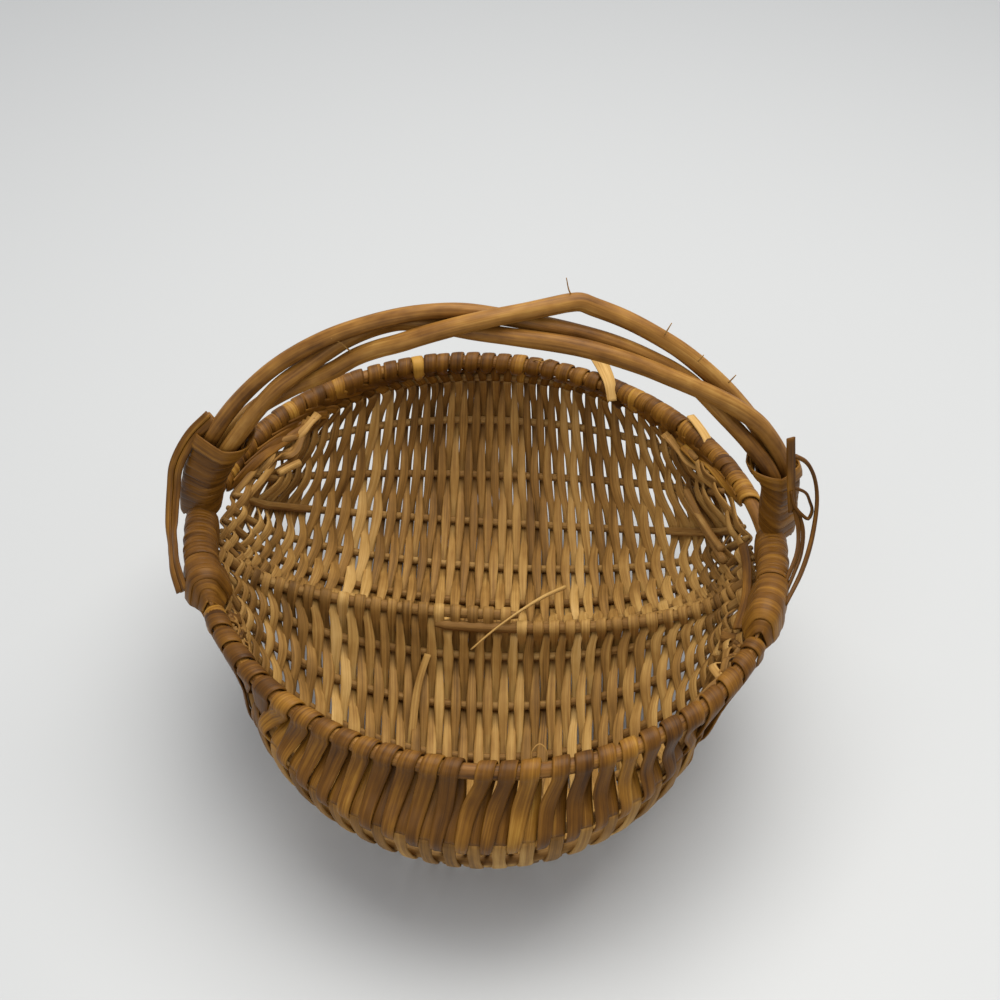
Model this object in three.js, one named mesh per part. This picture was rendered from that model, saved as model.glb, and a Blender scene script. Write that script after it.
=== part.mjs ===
import * as THREE from 'three';

// A small rib basket with two lobes, a twisted three-rod handle and lashed ears.
// Millimetres and degrees. X runs from the left ear to the right ear, Y to the back, Z up.
// Everything is placed from the middle of the rim hoop, and the whole is stood on the floor at the end.

// Rim hoop, a bent rod, slightly oval
const RIM_RADIUS = 101.4;
const RIM_OVAL = 3.9;
const RIM_OVAL_ANGLE = 116.5;
const RIM_ROD_RADIUS = 2.5;

// Two lobes, each a round hollow between the rim and the keel, that swell out beyond the rim
const LOBE_RADIUS = 59;
const LOBE_DROP = 15;
const BACK_SWELL = 7.9;
const FRONT_SWELL = 11.3;
const KEEL_Y = -1.7;
const KEEL_RISE = 15.5;
const KEEL_ROD_RADIUS = 2;
const KEEL_LAP_SHIFT = 3.4;
const KEEL_LEFT_END = 13;
const KEEL_RIGHT_END = -18;

// Ribs: where each crosses the middle, as a share of the way round its lobe from the first to the last, and
// its ends' Y. The first is given in degrees from straight out, and the last by its distance from the keel in Y
const RIB_RADIUS = 1.6;
const RIB_TO_KEEL = 6.8;
const BACK_FIRST_RIB = 3;
const BACK_RIB_SHARES = [0, 0.142, 0.303, 0.441, 0.585, 0.727, 0.867, 1];
const BACK_RIB_LEFT_Y = [52, 45, 36, 25, 18.5, 12.5, 7, 2];
const BACK_RIB_RIGHT_Y = [46, 38, 28, 9, 3.5, -1.5, -6.5, -11];
const FRONT_FIRST_RIB = -7;
const FRONT_RIB_SHARES = [0, 0.15, 0.293, 0.436, 0.579, 0.722, 0.865, 1];
const FRONT_RIB_LEFT_Y = [-52, -45, -39, -33.5, -28, -22.5, -17, -11];
const FRONT_RIB_RIGHT_Y = [-57, -51.5, -46, -41, -36, -31, -26, -21];
const KEEL_LEFT_Y = -4;
const KEEL_RIGHT_Y = -16;
const END_DROP = 6;
const END_INSET = 11;

// Woven wall, outside the ribs
const WALL = 1.6;
const RIB_TO_WALL = 0.7;
const WALL_END_TURN = 7;
const WALL_MIDDLE_TURN = 18;
const SEAM_GAP = 0.5;
const REST_FLAT = 0.8;

// Openings between the weavers: the turn along the ribs from one to the next, the share of it that is open, and
// how far each stays from the ribs, as a share of the way from one rib to the next
const SLOT_PITCH_TURN = 8;
const SLOT_OPEN = 0.18;
const SLOT_FROM_RIB = 0.24;

// Flat reed of the rim wraps and lashings
const REED_THICK = 0.9;
const WRAP_WIDTH = 5.2;
const WRAP_PITCH = 7.3;
const LASHING_WIDTH = 2.8;
const LASHING_PITCH = 4.1;
const COLUMN_WIDTH = 2.9;
const COLUMN_PITCH = 3.6;
const FOOT_WIDTH = 4.8;
const FOOT_PITCH = 5.7;
const BACK_WRAP_LEFT_END = 25;
const BACK_WRAP_RIGHT_END = 17;
const MIDDLE_GAP = 2.2;
const CLEARANCE = 0.35;
const WRAP_CLEARANCE = 0.5;

// Handle: three rods twisted together. Each path lists places as a share of the handle's length from the
// left ear, the distance outward from the bundle's middle line, and the distance behind it
const HANDLE_INSET = 0.4;
const HANDLE_HEIGHT = 89.5;
const HANDLE_LEAN = 0.07;
const HANDLE_LEFT_Y = 10.5;
const HANDLE_RIGHT_Y = -3.5;
const ROD_BEND = 6;
const ROD_END_GAP = 0.5;
const HANDLE_RODS = [
  {
    leftRadius: 2.7,
    rightRadius: 2.7,
    path: [
      [0, 2.6, 0], [0.1, 2.6, 0], [0.17, 2.6, 0.2], [0.24, 3.7, 0.8], [0.31, 4.9, 1.1], [0.42, 4.9, 1.3],
      [0.47, 3.2, 2.3], [0.52, -0.7, 3.7], [0.57, -1.5, 1.8], [0.68, -2.4, 1.7], [0.74, -2.4, 2],
      [0.79, -2.9, 0.8], [0.84, -0.9, -1], [0.9, 1.9, -2.5], [0.94, -0.4, -2.6], [1, -2, -2.6],
    ],
  },
  {
    leftRadius: 2.8,
    rightRadius: 3,
    path: [
      [0, -3.2, -3.2], [0.1, -3.4, -3.2], [0.18, -3.7, -3.2], [0.24, -1.9, -2.6], [0.27, -0.8, -1.7],
      [0.3, -1.1, 0.8], [0.33, -0.6, 2.7], [0.36, 0.3, 4.3], [0.41, 0.6, 5.2], [0.44, -0.9, 3.8],
      [0.49, -3.7, 0.3], [0.54, -3.6, -3.4], [0.62, -2.8, -5], [0.69, -2, -4.8], [0.74, 0, -3.8],
      [0.8, 3.8, -1.6], [0.84, 5.6, 0.4], [0.9, 6.2, 2], [0.94, 4.2, 2.2], [1, 2.2, 2.4],
    ],
  },
  {
    leftRadius: 3,
    rightRadius: 2.9,
    path: [
      [0, -2.6, 4.4], [0.1, -3, 4.4], [0.2, -4.6, 4.7], [0.27, -6.2, 3], [0.3, -6.9, 2.2], [0.33, -6.6, 1.1],
      [0.36, -4.5, -0.3], [0.39, -2.6, -2.4], [0.42, -1.4, -3.9], [0.49, 1.8, -2.8], [0.54, 3.8, 0.4],
      [0.575, 6.1, 3.4], [0.59, 7.4, 4.7], [0.61, 6.4, 5], [0.7, 3.9, 4.6], [0.78, 2.4, 5], [0.87, 3, 6.4],
      [0.93, 2.6, 7.9], [1, 0.4, 8.4],
    ],
  },
];

// Ears. Places along the rim are in Y
const EARS = {
  left: { side: -1, forwardRod: 1, columnBack: 1, columnTurns: 6, footTurns: 2, lashingTurns: 6 },
  right: { side: 1, forwardRod: 0, columnBack: -11, columnTurns: 5, footTurns: 3, lashingTurns: 5 },
};

// Loose reeds at the ears. Places are outward from the rim's nominal circle, then Y, then the height as a share
// of the handle's
const STRAP_WIDTH = 4.2;
const STRAP_THICK = 1.2;
const OUTER_STRAP_PLACES = [
  [-4.6, 9, 0.503], [3.2, 8, 0.358], [7.2, 4, 0.201], [8.4, -3, 0.089], [6.6, -12, 0.028], [5.6, -18, 0],
];
const UPRIGHT_STRIP_PLACES = [[6.9, -8.5, 0.112], [8, -10.5, 0.246], [6.4, -11.5, 0.38], [5, -11, 0.514]];
const INNER_STRIP_Y = [-2, -14, -30, -46];
const INNER_STRIP_Z = -1.6;
const STRAND_RADIUS = 0.8;
const LOOSE_STRAND_PLACES = [
  [5.4, -5, 0.402], [11, -6, 0.358], [14, -10, 0.201], [11, -20, 0.056], [2, -33, -0.011],
];

// Two spare rib ends inside the weave. Places are the rib's number, counted from the back rim, and degrees
// of turn along it from the left ear
const LOOSE_RIB_RADIUS = 1.4;
const LOOSE_RIB_UPPER_PLACES = [[2.9, 150], [3.1, 157], [3.9, 166], [5.2, 174]];
const LOOSE_RIB_LOWER_PLACES = [[1.9, 155], [2.1, 162], [2.8, 170], [3.6, 176]];

// How finely the curves are drawn
const RIM_STEPS = 60;
const RIB_STEPS = 16;
const ROD_STEPS = 40;
const ROD_SIDES = 8;
const REED_SIDES = 6;
const LOOSE_STEPS = 10;
const BEND_STEPS = 5;
const RIM_LAY_STEPS = 5;
const WRAP_STEPS = 8;
const BINDING_STEPS = 12;
const BUNDLE_SAMPLES = 8;
const SMALL_TURN = 0.01;

const UP = new THREE.Vector3(0, 0, 1);
const rad = THREE.MathUtils.degToRad;
const lerp = THREE.MathUtils.lerp;

// Evenly spaced values from one number to another
const spread = (count, from, to) => Array.from({ length: count + 1 }, (_, i) => lerp(from, to, i / count));

const wood = (name, color, roughness) => {
  const material = new THREE.MeshStandardMaterial({ color, roughness, metalness: 0 });
  material.name = name;
  return material;
};
const rodWood = wood('rod_wood', 0x8a6538, 0.6);
const ribWood = wood('rib_reed', 0xa67c48, 0.65);
const wovenReed = wood('woven_reed', 0xb0864f, 0.6);
const wrapReed = wood('wrap_reed', 0xa8713a, 0.5);

// A closed solid from a row of rings that all have the same number of points
function solidFromRings(rings, closed = false) {
  const sides = rings[0].length;
  const positions = rings.flatMap((ring) => ring.flatMap((point) => point.toArray()));
  const faces = [];
  const spans = closed ? rings.length : rings.length - 1;
  for (let i = 0; i < spans; i += 1) {
    const here = i * sides;
    const next = ((i + 1) % rings.length) * sides;
    for (let j = 0; j < sides; j += 1) {
      const k = (j + 1) % sides;
      faces.push([here + j, here + k, next + j], [here + k, next + k, next + j]);
    }
  }
  if (!closed) {
    const last = (rings.length - 1) * sides;
    for (let j = 1; j < sides - 1; j += 1) {
      faces.push([0, j + 1, j], [last, last + j, last + j + 1]);
    }
  }
  return closedGeometry(positions, faces);
}

// Turns the faces outward and gives them as a geometry
function closedGeometry(positions, faces) {
  const corner = (i) => new THREE.Vector3().fromArray(positions, 3 * i);
  let volume = 0;
  for (const [a, b, c] of faces) {
    volume += corner(a).dot(corner(b).cross(corner(c)));
  }
  const index = volume < 0 ? faces.flatMap(([a, b, c]) => [a, c, b]) : faces.flat();
  const geometry = new THREE.BufferGeometry();
  geometry.setAttribute('position', new THREE.Float32BufferAttribute(positions, 3));
  geometry.setIndex(index);
  geometry.computeVertexNormals();
  return geometry;
}

// A round rod along points, with a radius at each point
function rod(points, radiusAt, sides) {
  const count = points.length;
  const side = new THREE.Vector3();
  const rings = points.map((point, i) => {
    const tangent = points[Math.min(i + 1, count - 1)].clone().sub(points[Math.max(i - 1, 0)]).normalize();
    if (i === 0) {
      side.crossVectors(tangent, Math.abs(tangent.z) < 0.9 ? UP : new THREE.Vector3(1, 0, 0));
    }
    side.addScaledVector(tangent, -side.dot(tangent)).normalize();
    const across = new THREE.Vector3().crossVectors(tangent, side);
    const radius = radiusAt(i / (count - 1));
    return Array.from({ length: sides }, (_, j) => {
      const angle = (2 * Math.PI * j) / sides;
      return point.clone()
        .addScaledVector(side, radius * Math.cos(angle))
        .addScaledVector(across, radius * Math.sin(angle));
    });
  });
  return solidFromRings(rings);
}

// A flat strip along points, its broad face square to the facing direction at each point
function strip(points, width, thick, facing) {
  const count = points.length;
  const rings = points.map((point, i) => {
    const tangent = points[Math.min(i + 1, count - 1)].clone().sub(points[Math.max(i - 1, 0)]).normalize();
    const out = facing(point).addScaledVector(tangent, -facing(point).dot(tangent)).normalize();
    const across = new THREE.Vector3().crossVectors(tangent, out);
    return [[1, 1], [1, -1], [-1, -1], [-1, 1]].map(([a, b]) => point.clone()
      .addScaledVector(across, (a * width) / 2)
      .addScaledVector(out, (b * thick) / 2));
  });
  return solidFromRings(rings);
}

// The least distance between corners of a winding that lie half a turn or more apart
function leastGap(rings, stepsPerTurn) {
  let least = Infinity;
  for (let i = 0; i < rings.length; i += 1) {
    for (let j = i + stepsPerTurn / 2; j < rings.length; j += 1) {
      for (const p of rings[i]) {
        for (const q of rings[j]) {
          least = Math.min(least, p.distanceTo(q));
        }
      }
    }
  }
  return least;
}

// How far the outside of a winding lies from its middle
const windingReach = (radius, steps) => radius / Math.cos(Math.PI / steps) + REED_THICK;

// One unbroken flat reed wound round a core. frameAt gives the core's middle and its three directions
function winding(name, { turns, steps, width, thick, section, frameAt }) {
  const rings = [];
  for (let i = 0; i <= turns * steps; i += 1) {
    const angle = (2 * Math.PI * i) / steps;
    const { middle, out, up, along } = frameAt(i / (turns * steps));
    const { offsetOut, offsetUp, radius, tallHalf } = section;
    const rise = tallHalf * Math.sign(Math.sin(angle)) * Math.sqrt(Math.abs(Math.sin(angle)));
    const away = out.clone().multiplyScalar(Math.cos(angle)).addScaledVector(up, Math.sin(angle));
    const centre = middle.clone()
      .addScaledVector(out, offsetOut)
      .addScaledVector(up, offsetUp + rise)
      .addScaledVector(away, radius / Math.cos(Math.PI / steps) + thick / 2);
    rings.push([[1, 1], [1, -1], [-1, -1], [-1, 1]].map(([a, b]) => centre.clone()
      .addScaledVector(along, (a * width) / 2)
      .addScaledVector(away, (b * thick) / 2)));
  }
  console.log(`${name}: least gap to itself ${leastGap(rings, steps).toFixed(2)} mm`);
  return solidFromRings(rings);
}

// The rim's centreline at an angle round the rim, counted from the right ear towards the back
function rimRadius(angle) {
  return RIM_RADIUS + RIM_OVAL * Math.cos(2 * rad(angle - RIM_OVAL_ANGLE));
}

function rimPoint(angle, out = 0, up = 0) {
  const radius = rimRadius(angle) + out;
  return new THREE.Vector3(radius * Math.cos(rad(angle)), radius * Math.sin(rad(angle)), up);
}

// The angle round the rim at which its Y is a given one, near the left (-1) or right (1) ear
function earAngle(side, y) {
  const angle = THREE.MathUtils.radToDeg(Math.asin(y / RIM_RADIUS));
  return side > 0 ? angle : 180 - angle;
}

// A rib is half of an ellipse between its two ends, through its lowest or outermost point in the middle
function ribLine(leftY, rightY, middleY, middleZ) {
  const end = (side, y) => {
    const radius = RIM_RADIUS - END_INSET;
    return new THREE.Vector3(side * Math.sqrt(radius * radius - y * y), y, -END_DROP);
  };
  const left = end(-1, leftY);
  const right = end(1, rightY);
  const centre = left.clone().add(right).multiplyScalar(0.5);
  const half = right.clone().sub(left).multiplyScalar(0.5);
  const bulge = new THREE.Vector3(0, middleY - centre.y, middleZ - centre.z);
  const atTurn = (turn) => centre.clone()
    .addScaledVector(half, -Math.cos(turn))
    .addScaledVector(bulge, Math.sin(turn));
  return { left, right, atTurn };
}

// The ribs of one lobe, from the rim to the keel. The face is 1 for the back lobe and -1 for the front one
function lobeRibs(face, swell, firstRib, shares, leftY, rightY) {
  const lobeY = face * (RIM_RADIUS - LOBE_RADIUS + swell);
  const lastRib = -Math.acos((face * (KEEL_Y - lobeY) + RIB_TO_KEEL) / LOBE_RADIUS);
  return shares.map((share, i) => {
    const angle = lerp(rad(firstRib), lastRib, share);
    const y = lobeY + face * LOBE_RADIUS * Math.cos(angle);
    return ribLine(leftY[i], rightY[i], y, LOBE_RADIUS * Math.sin(angle) - LOBE_DROP);
  });
}
const backRibs = lobeRibs(1, BACK_SWELL, BACK_FIRST_RIB, BACK_RIB_SHARES, BACK_RIB_LEFT_Y, BACK_RIB_RIGHT_Y);
const frontRibs = lobeRibs(
  -1, FRONT_SWELL, FRONT_FIRST_RIB, FRONT_RIB_SHARES, FRONT_RIB_LEFT_Y, FRONT_RIB_RIGHT_Y);

// The keel stands above the ribs beside it
const lastRibs = [backRibs, frontRibs].map((ribs) => ribs[ribs.length - 1]);
const keelZ = Math.max(...lastRibs.map((line) => line.atTurn(Math.PI / 2).z)) + KEEL_RISE;
const keel = ribLine(KEEL_LEFT_Y, KEEL_RIGHT_Y, KEEL_Y, keelZ);
const lowerKeel = ribLine(KEEL_LEFT_Y, KEEL_RIGHT_Y, KEEL_Y - KEEL_LAP_SHIFT, keelZ - KEEL_LAP_SHIFT);

const basket = new THREE.Group();

function add(name, geometry, material) {
  const mesh = new THREE.Mesh(geometry, material);
  mesh.name = name;
  basket.add(mesh);
}

// Rim hoop
const rimRings = Array.from({ length: RIM_STEPS }, (_, i) => {
  const angle = (360 * i) / RIM_STEPS;
  return Array.from({ length: ROD_SIDES }, (__, j) => {
    const turn = (2 * Math.PI * j) / ROD_SIDES;
    return rimPoint(angle, RIM_ROD_RADIUS * Math.cos(turn), RIM_ROD_RADIUS * Math.sin(turn));
  });
});
add('rim_hoop', solidFromRings(rimRings, true), rodWood);

// Ribs
function addRib(name, line, radius, fromTurn = 0, toTurn = Math.PI) {
  const points = spread(RIB_STEPS, fromTurn, toTurn).map(line.atTurn);
  add(name, rod(points, () => radius, REED_SIDES), ribWood);
}
backRibs.forEach((line, i) => addRib(`back_rib_${i + 1}`, line, RIB_RADIUS));
frontRibs.forEach((line, i) => addRib(`front_rib_${i + 1}`, line, RIB_RADIUS));

// Keel: two rods that lap in the middle
const turnAtX = (x) => Math.acos(-x / (RIM_RADIUS - END_INSET));
addRib('keel_rod_left', keel, KEEL_ROD_RADIUS, 0, turnAtX(KEEL_LEFT_END));
addRib('keel_rod_right', lowerKeel, KEEL_ROD_RADIUS, turnAtX(KEEL_RIGHT_END), Math.PI);

// Woven wall: a grid of stations along the ribs by points across them, offset to the outside of the ribs
const wallLines = [...backRibs, keel, ...frontRibs.slice().reverse()];
const wallTop = RIM_ROD_RADIUS + WRAP_CLEARANCE + REED_THICK + 2 * CLEARANCE;

function wallRow(turn) {
  const share = turn / Math.PI;
  const rimBeside = (first, face) => {
    const from = Math.atan2(first.left.y, first.left.x);
    const to = Math.atan2(first.right.y, first.right.x);
    const start = from * face < 0 ? from + 2 * Math.PI * face : from;
    return rimPoint(THREE.MathUtils.radToDeg(lerp(start, to, share)), 0, -wallTop);
  };
  const overRibs = wallLines.map((line) => line.atTurn(turn));
  return [rimBeside(backRibs[0], 1), ...overRibs, rimBeside(frontRibs[0], -1)];
}

// A row of points from the rim over every rib line to the rim again, moved outward from the ribs and the rim
function wallSurface(turn, fromRibs, fromRim) {
  const here = wallRow(turn);
  const before = wallRow(turn - SMALL_TURN);
  const after = wallRow(turn + SMALL_TURN);
  const last = here.length - 1;
  return here.map((point, i) => {
    const along = after[i].clone().sub(before[i]);
    const across = here[Math.min(i + 1, last)].clone().sub(here[Math.max(i - 1, 0)]);
    const atRim = i === 0 || i === last;
    const outward = atRim ? new THREE.Vector3(point.x, point.y, 0) : along.cross(across);
    return point.clone().addScaledVector(outward.normalize(), atRim ? fromRim : fromRibs);
  });
}

// Each bay from one rib to the next has a point at its rib and one at each edge of its opening
const BAY_SHARES = [0, SLOT_FROM_RIB, 1 - SLOT_FROM_RIB];

function wallFaces(turn) {
  const smooth = (points) => {
    const bays = points.length - 1;
    const curve = new THREE.CatmullRomCurve3(points, false, 'centripetal');
    const shares = Array.from({ length: bays }, (_, bay) => BAY_SHARES.map((share) => (bay + share) / bays));
    return [...shares.flat(), 1].map((share) => curve.getPoint(share));
  };
  const inner = wallSurface(turn, RIB_RADIUS + RIB_TO_WALL, 0);
  const outer = wallSurface(turn, RIB_RADIUS + RIB_TO_WALL + WALL, WALL);
  const keelRow = 1 + wallLines.indexOf(keel);
  for (const row of [inner, outer]) {
    row[keelRow].z -= KEEL_ROD_RADIUS - RIB_RADIUS + KEEL_LAP_SHIFT * Math.sin(turn);
  }
  return { inner: smooth(inner), outer: smooth(outer) };
}

const floorLevel = Math.min(...wallFaces(Math.PI / 2).outer.map((point) => point.z)) + REST_FLAT;

function addWall(name, turns) {
  const rings = turns.map((turn) => {
    const { inner, outer } = wallFaces(turn);
    for (const point of outer) {
      point.z = Math.max(point.z, floorLevel);
    }
    return [...inner, ...outer.reverse()];
  });
  add(name, solidFromWall(rings), wovenReed);
}

// Each ring holds the wall's inner line and then its outer line, back again. The wall's end faces are strips
// between the two, and so are the sides of its openings
function solidFromWall(rings) {
  const sides = rings[0].length;
  const inner = (i, j) => i * sides + j;
  const outer = (i, j) => (i + 1) * sides - 1 - j;
  const faces = [];
  const addQuad = (a, b, c, d) => faces.push([a, b, c], [a, c, d]);
  const stations = rings.length - 1;
  const spans = sides / 2 - 1;
  for (let i = 0; i < stations; i += 1) {
    addQuad(inner(i, spans), outer(i, spans), outer(i + 1, spans), inner(i + 1, spans));
    addQuad(outer(i, 0), inner(i, 0), inner(i + 1, 0), outer(i + 1, 0));
    for (let j = 0; j < spans; j += 1) {
      const corners = [[i, j], [i, j + 1], [i + 1, j + 1], [i + 1, j]];
      if (isOpening(i, j, spans)) {
        corners.forEach((from, k) => {
          const to = corners[(k + 1) % corners.length];
          addQuad(inner(...from), inner(...to), outer(...to), outer(...from));
        });
      } else {
        addQuad(...corners.map((corner) => inner(...corner)));
        addQuad(...corners.map((corner) => outer(...corner)).reverse());
      }
    }
  }
  for (let j = 0; j < spans; j += 1) {
    addQuad(inner(0, j + 1), inner(0, j), outer(0, j), outer(0, j + 1));
    addQuad(inner(stations, j), inner(stations, j + 1), outer(stations, j + 1), outer(stations, j));
  }
  const positions = rings.flatMap((ring) => ring.flatMap((point) => point.toArray()));
  return closedGeometry(positions, faces);
}

// Every second station begins an opening, in the middle of every bay but the two beside the rim
function isOpening(station, span, spans) {
  const bayEnds = BAY_SHARES.length;
  return station % 2 === 1 && span % bayEnds === 1 && span > bayEnds && span < spans - bayEnds;
}

const wallStart = rad(WALL_END_TURN);
const wallEnd = Math.PI - wallStart;
const halfGap = SEAM_GAP / (2 * RIM_RADIUS);
const seams = [-1, 1].map((side) => Math.PI / 2 + side * rad(WALL_MIDDLE_TURN));

// The turns at which openings begin and end, between the two ends of a wall
function wallTurns(from, to) {
  const count = Math.round((to - from) / rad(SLOT_PITCH_TURN));
  const pitch = (to - from) / count;
  const edges = Array.from({ length: count }, (_, i) => [-1, 1].map(
    (side) => from + (i + (1 + side * SLOT_OPEN) / 2) * pitch));
  return [from, ...edges.flat(), to];
}
addWall('woven_wall_left', wallTurns(wallStart, seams[0] - halfGap));
addWall('woven_wall_middle', wallTurns(seams[0] + halfGap, seams[1] - halfGap));
addWall('woven_wall_right', wallTurns(seams[1] + halfGap, wallEnd));

// Handle: the bundle's middle line, and each rod's path beside it
const handleHalfSpan = RIM_RADIUS - HANDLE_INSET;

function handleFrame(share) {
  const turn = Math.PI * share;
  const x = -handleHalfSpan * Math.cos(turn);
  const y = lerp(HANDLE_LEFT_Y, HANDLE_RIGHT_Y, share);
  const z = HANDLE_HEIGHT * Math.sin(turn) * (1 + HANDLE_LEAN * (x / handleHalfSpan));
  const middle = new THREE.Vector3(x, y, z);
  const back = new THREE.Vector3(0, 1, 0);
  const out = new THREE.Vector3(-HANDLE_HEIGHT * Math.cos(turn), 0, handleHalfSpan * Math.sin(turn));
  out.normalize();
  return { middle, out, up: back, along: new THREE.Vector3().crossVectors(out, back) };
}

// How far outward and how far back a rod lies at a share of the handle's length
function rodOffset(spec, share) {
  const shares = spec.path.map((place) => place[0]);
  const offsets = spec.path.flatMap((place) => place.slice(1));
  return Array.from(new THREE.CubicInterpolant(shares, offsets, 2).evaluate(share));
}

function handleRodPoint(spec, share) {
  const { middle, out, up } = handleFrame(share);
  const [outward, back] = rodOffset(spec, share);
  return middle.addScaledVector(out, outward).addScaledVector(up, back);
}

// Where an ear's column wrap ends, where its foot wrap lies, and where the rim wrap starts, in Y
function bindingPlaces(ear) {
  const columnEnd = ear.columnBack - ear.columnTurns * COLUMN_PITCH;
  const footStart = columnEnd - (FOOT_WIDTH - COLUMN_WIDTH) / 2 - REED_THICK;
  const footEnd = footStart - ear.footTurns * FOOT_PITCH;
  return { columnEnd, footStart, footEnd, wrapStart: footEnd - (FOOT_WIDTH + WRAP_WIDTH) / 2 - CLEARANCE };
}

// At each ear one rod bends forward and lies along the top of the rim, and the other two end on the rim
const alongRimUp = RIM_ROD_RADIUS + CLEARANCE + Math.max(...HANDLE_RODS.map((spec) => spec.leftRadius));
const turnAtHeight = (height) => Math.asin(height / HANDLE_HEIGHT) / Math.PI;

function forwardBend(ear, spec, t) {
  const top = handleRodPoint(spec, t);
  const points = [];
  for (let i = 1; i <= BEND_STEPS; i += 1) {
    const turn = (Math.PI / 2) * (i / BEND_STEPS);
    const y = top.y - ROD_BEND * (1 - Math.cos(turn));
    const onRim = rimPoint(earAngle(ear.side, y));
    const z = alongRimUp + ROD_BEND * (1 - Math.sin(turn));
    points.push(new THREE.Vector3(lerp(top.x, onRim.x, i / BEND_STEPS), y, z));
  }
  const { footEnd } = bindingPlaces(ear);
  const along = spread(RIM_LAY_STEPS, points[points.length - 1].y, footEnd).slice(1);
  return [...points, ...along.map((y) => rimPoint(earAngle(ear.side, y), 0, alongRimUp))];
}

HANDLE_RODS.forEach((spec, i) => {
  const endTurn = turnAtHeight(RIM_ROD_RADIUS + ROD_END_GAP);
  const bendTurn = turnAtHeight(alongRimUp + ROD_BEND);
  const from = i === EARS.left.forwardRod ? bendTurn : endTurn;
  const to = 1 - (i === EARS.right.forwardRod ? bendTurn : endTurn);
  const points = spread(ROD_STEPS, from, to).map((share) => handleRodPoint(spec, share));
  if (i === EARS.left.forwardRod) {
    points.unshift(...forwardBend(EARS.left, spec, from).reverse());
  }
  if (i === EARS.right.forwardRod) {
    points.push(...forwardBend(EARS.right, spec, to));
  }
  const radiusAt = (share) => lerp(spec.leftRadius, spec.rightRadius, share);
  add(`handle_rod_${i + 1}`, rod(points, radiusAt, ROD_SIDES), rodWood);
});

// Rim wraps and ear bindings, each one reed wound round its core
const rimFrame = (fromAngle, toAngle) => (share) => {
  const angle = lerp(fromAngle, toAngle, share);
  const out = new THREE.Vector3(Math.cos(rad(angle)), Math.sin(rad(angle)), 0);
  return { middle: rimPoint(angle), out, up: UP, along: new THREE.Vector3().crossVectors(UP, out) };
};
const degreesPerMm = 360 / (2 * Math.PI * RIM_RADIUS);

function addRimWrap(name, fromAngle, toAngle) {
  const length = Math.abs(toAngle - fromAngle) / degreesPerMm;
  const geometry = winding(name, {
    turns: Math.floor(length / WRAP_PITCH),
    steps: WRAP_STEPS,
    width: WRAP_WIDTH,
    thick: REED_THICK,
    section: { offsetOut: 0, offsetUp: 0, radius: RIM_ROD_RADIUS + WRAP_CLEARANCE, tallHalf: 0 },
    frameAt: rimFrame(fromAngle, toAngle),
  });
  add(name, geometry, wrapReed);
}

addRimWrap('rim_wrap_back_left', earAngle(-1, BACK_WRAP_LEFT_END), 90 + MIDDLE_GAP);
addRimWrap('rim_wrap_back_right', earAngle(1, BACK_WRAP_RIGHT_END), 90 - MIDDLE_GAP);
addRimWrap('rim_wrap_front_left', earAngle(-1, bindingPlaces(EARS.left).wrapStart), 270 - MIDDLE_GAP);
addRimWrap('rim_wrap_front_right', earAngle(1, bindingPlaces(EARS.right).wrapStart), -90 + MIDDLE_GAP);

// The section round the three handle rods between two shares of the handle's length
function bundleSection(from, to) {
  const spots = spread(BUNDLE_SAMPLES, from, to).flatMap((share) => HANDLE_RODS.map((spec) => {
    const [out, back] = rodOffset(spec, share);
    return { out, back, radius: lerp(spec.leftRadius, spec.rightRadius, share) };
  }));
  const span = (key) => {
    const low = Math.min(...spots.map((spot) => spot[key] - spot.radius));
    const high = Math.max(...spots.map((spot) => spot[key] + spot.radius));
    return { middle: (low + high) / 2, half: (high - low) / 2 };
  };
  const across = span('out');
  const deep = span('back');
  const tallHalf = Math.max(0, deep.half - across.half);
  const radius = Math.max(...spots.map((spot) => {
    const back = Math.max(0, Math.abs(spot.back - deep.middle) - tallHalf);
    return Math.hypot(spot.out - across.middle, back) + spot.radius;
  }));
  return { offsetOut: across.middle, offsetUp: deep.middle, radius: radius + CLEARANCE, tallHalf };
}

// The column wrap goes round the rim and the handle rod that lies on it, and the foot wrap goes over its end
function columnRadius(ear) {
  const { leftRadius, rightRadius } = HANDLE_RODS[ear.forwardRod];
  const rodRadius = ear.side < 0 ? leftRadius : rightRadius;
  return Math.max(rodRadius, RIM_ROD_RADIUS) + WRAP_CLEARANCE + CLEARANCE;
}

const footRadius = (ear) => columnRadius(ear) + REED_THICK + CLEARANCE;

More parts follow.
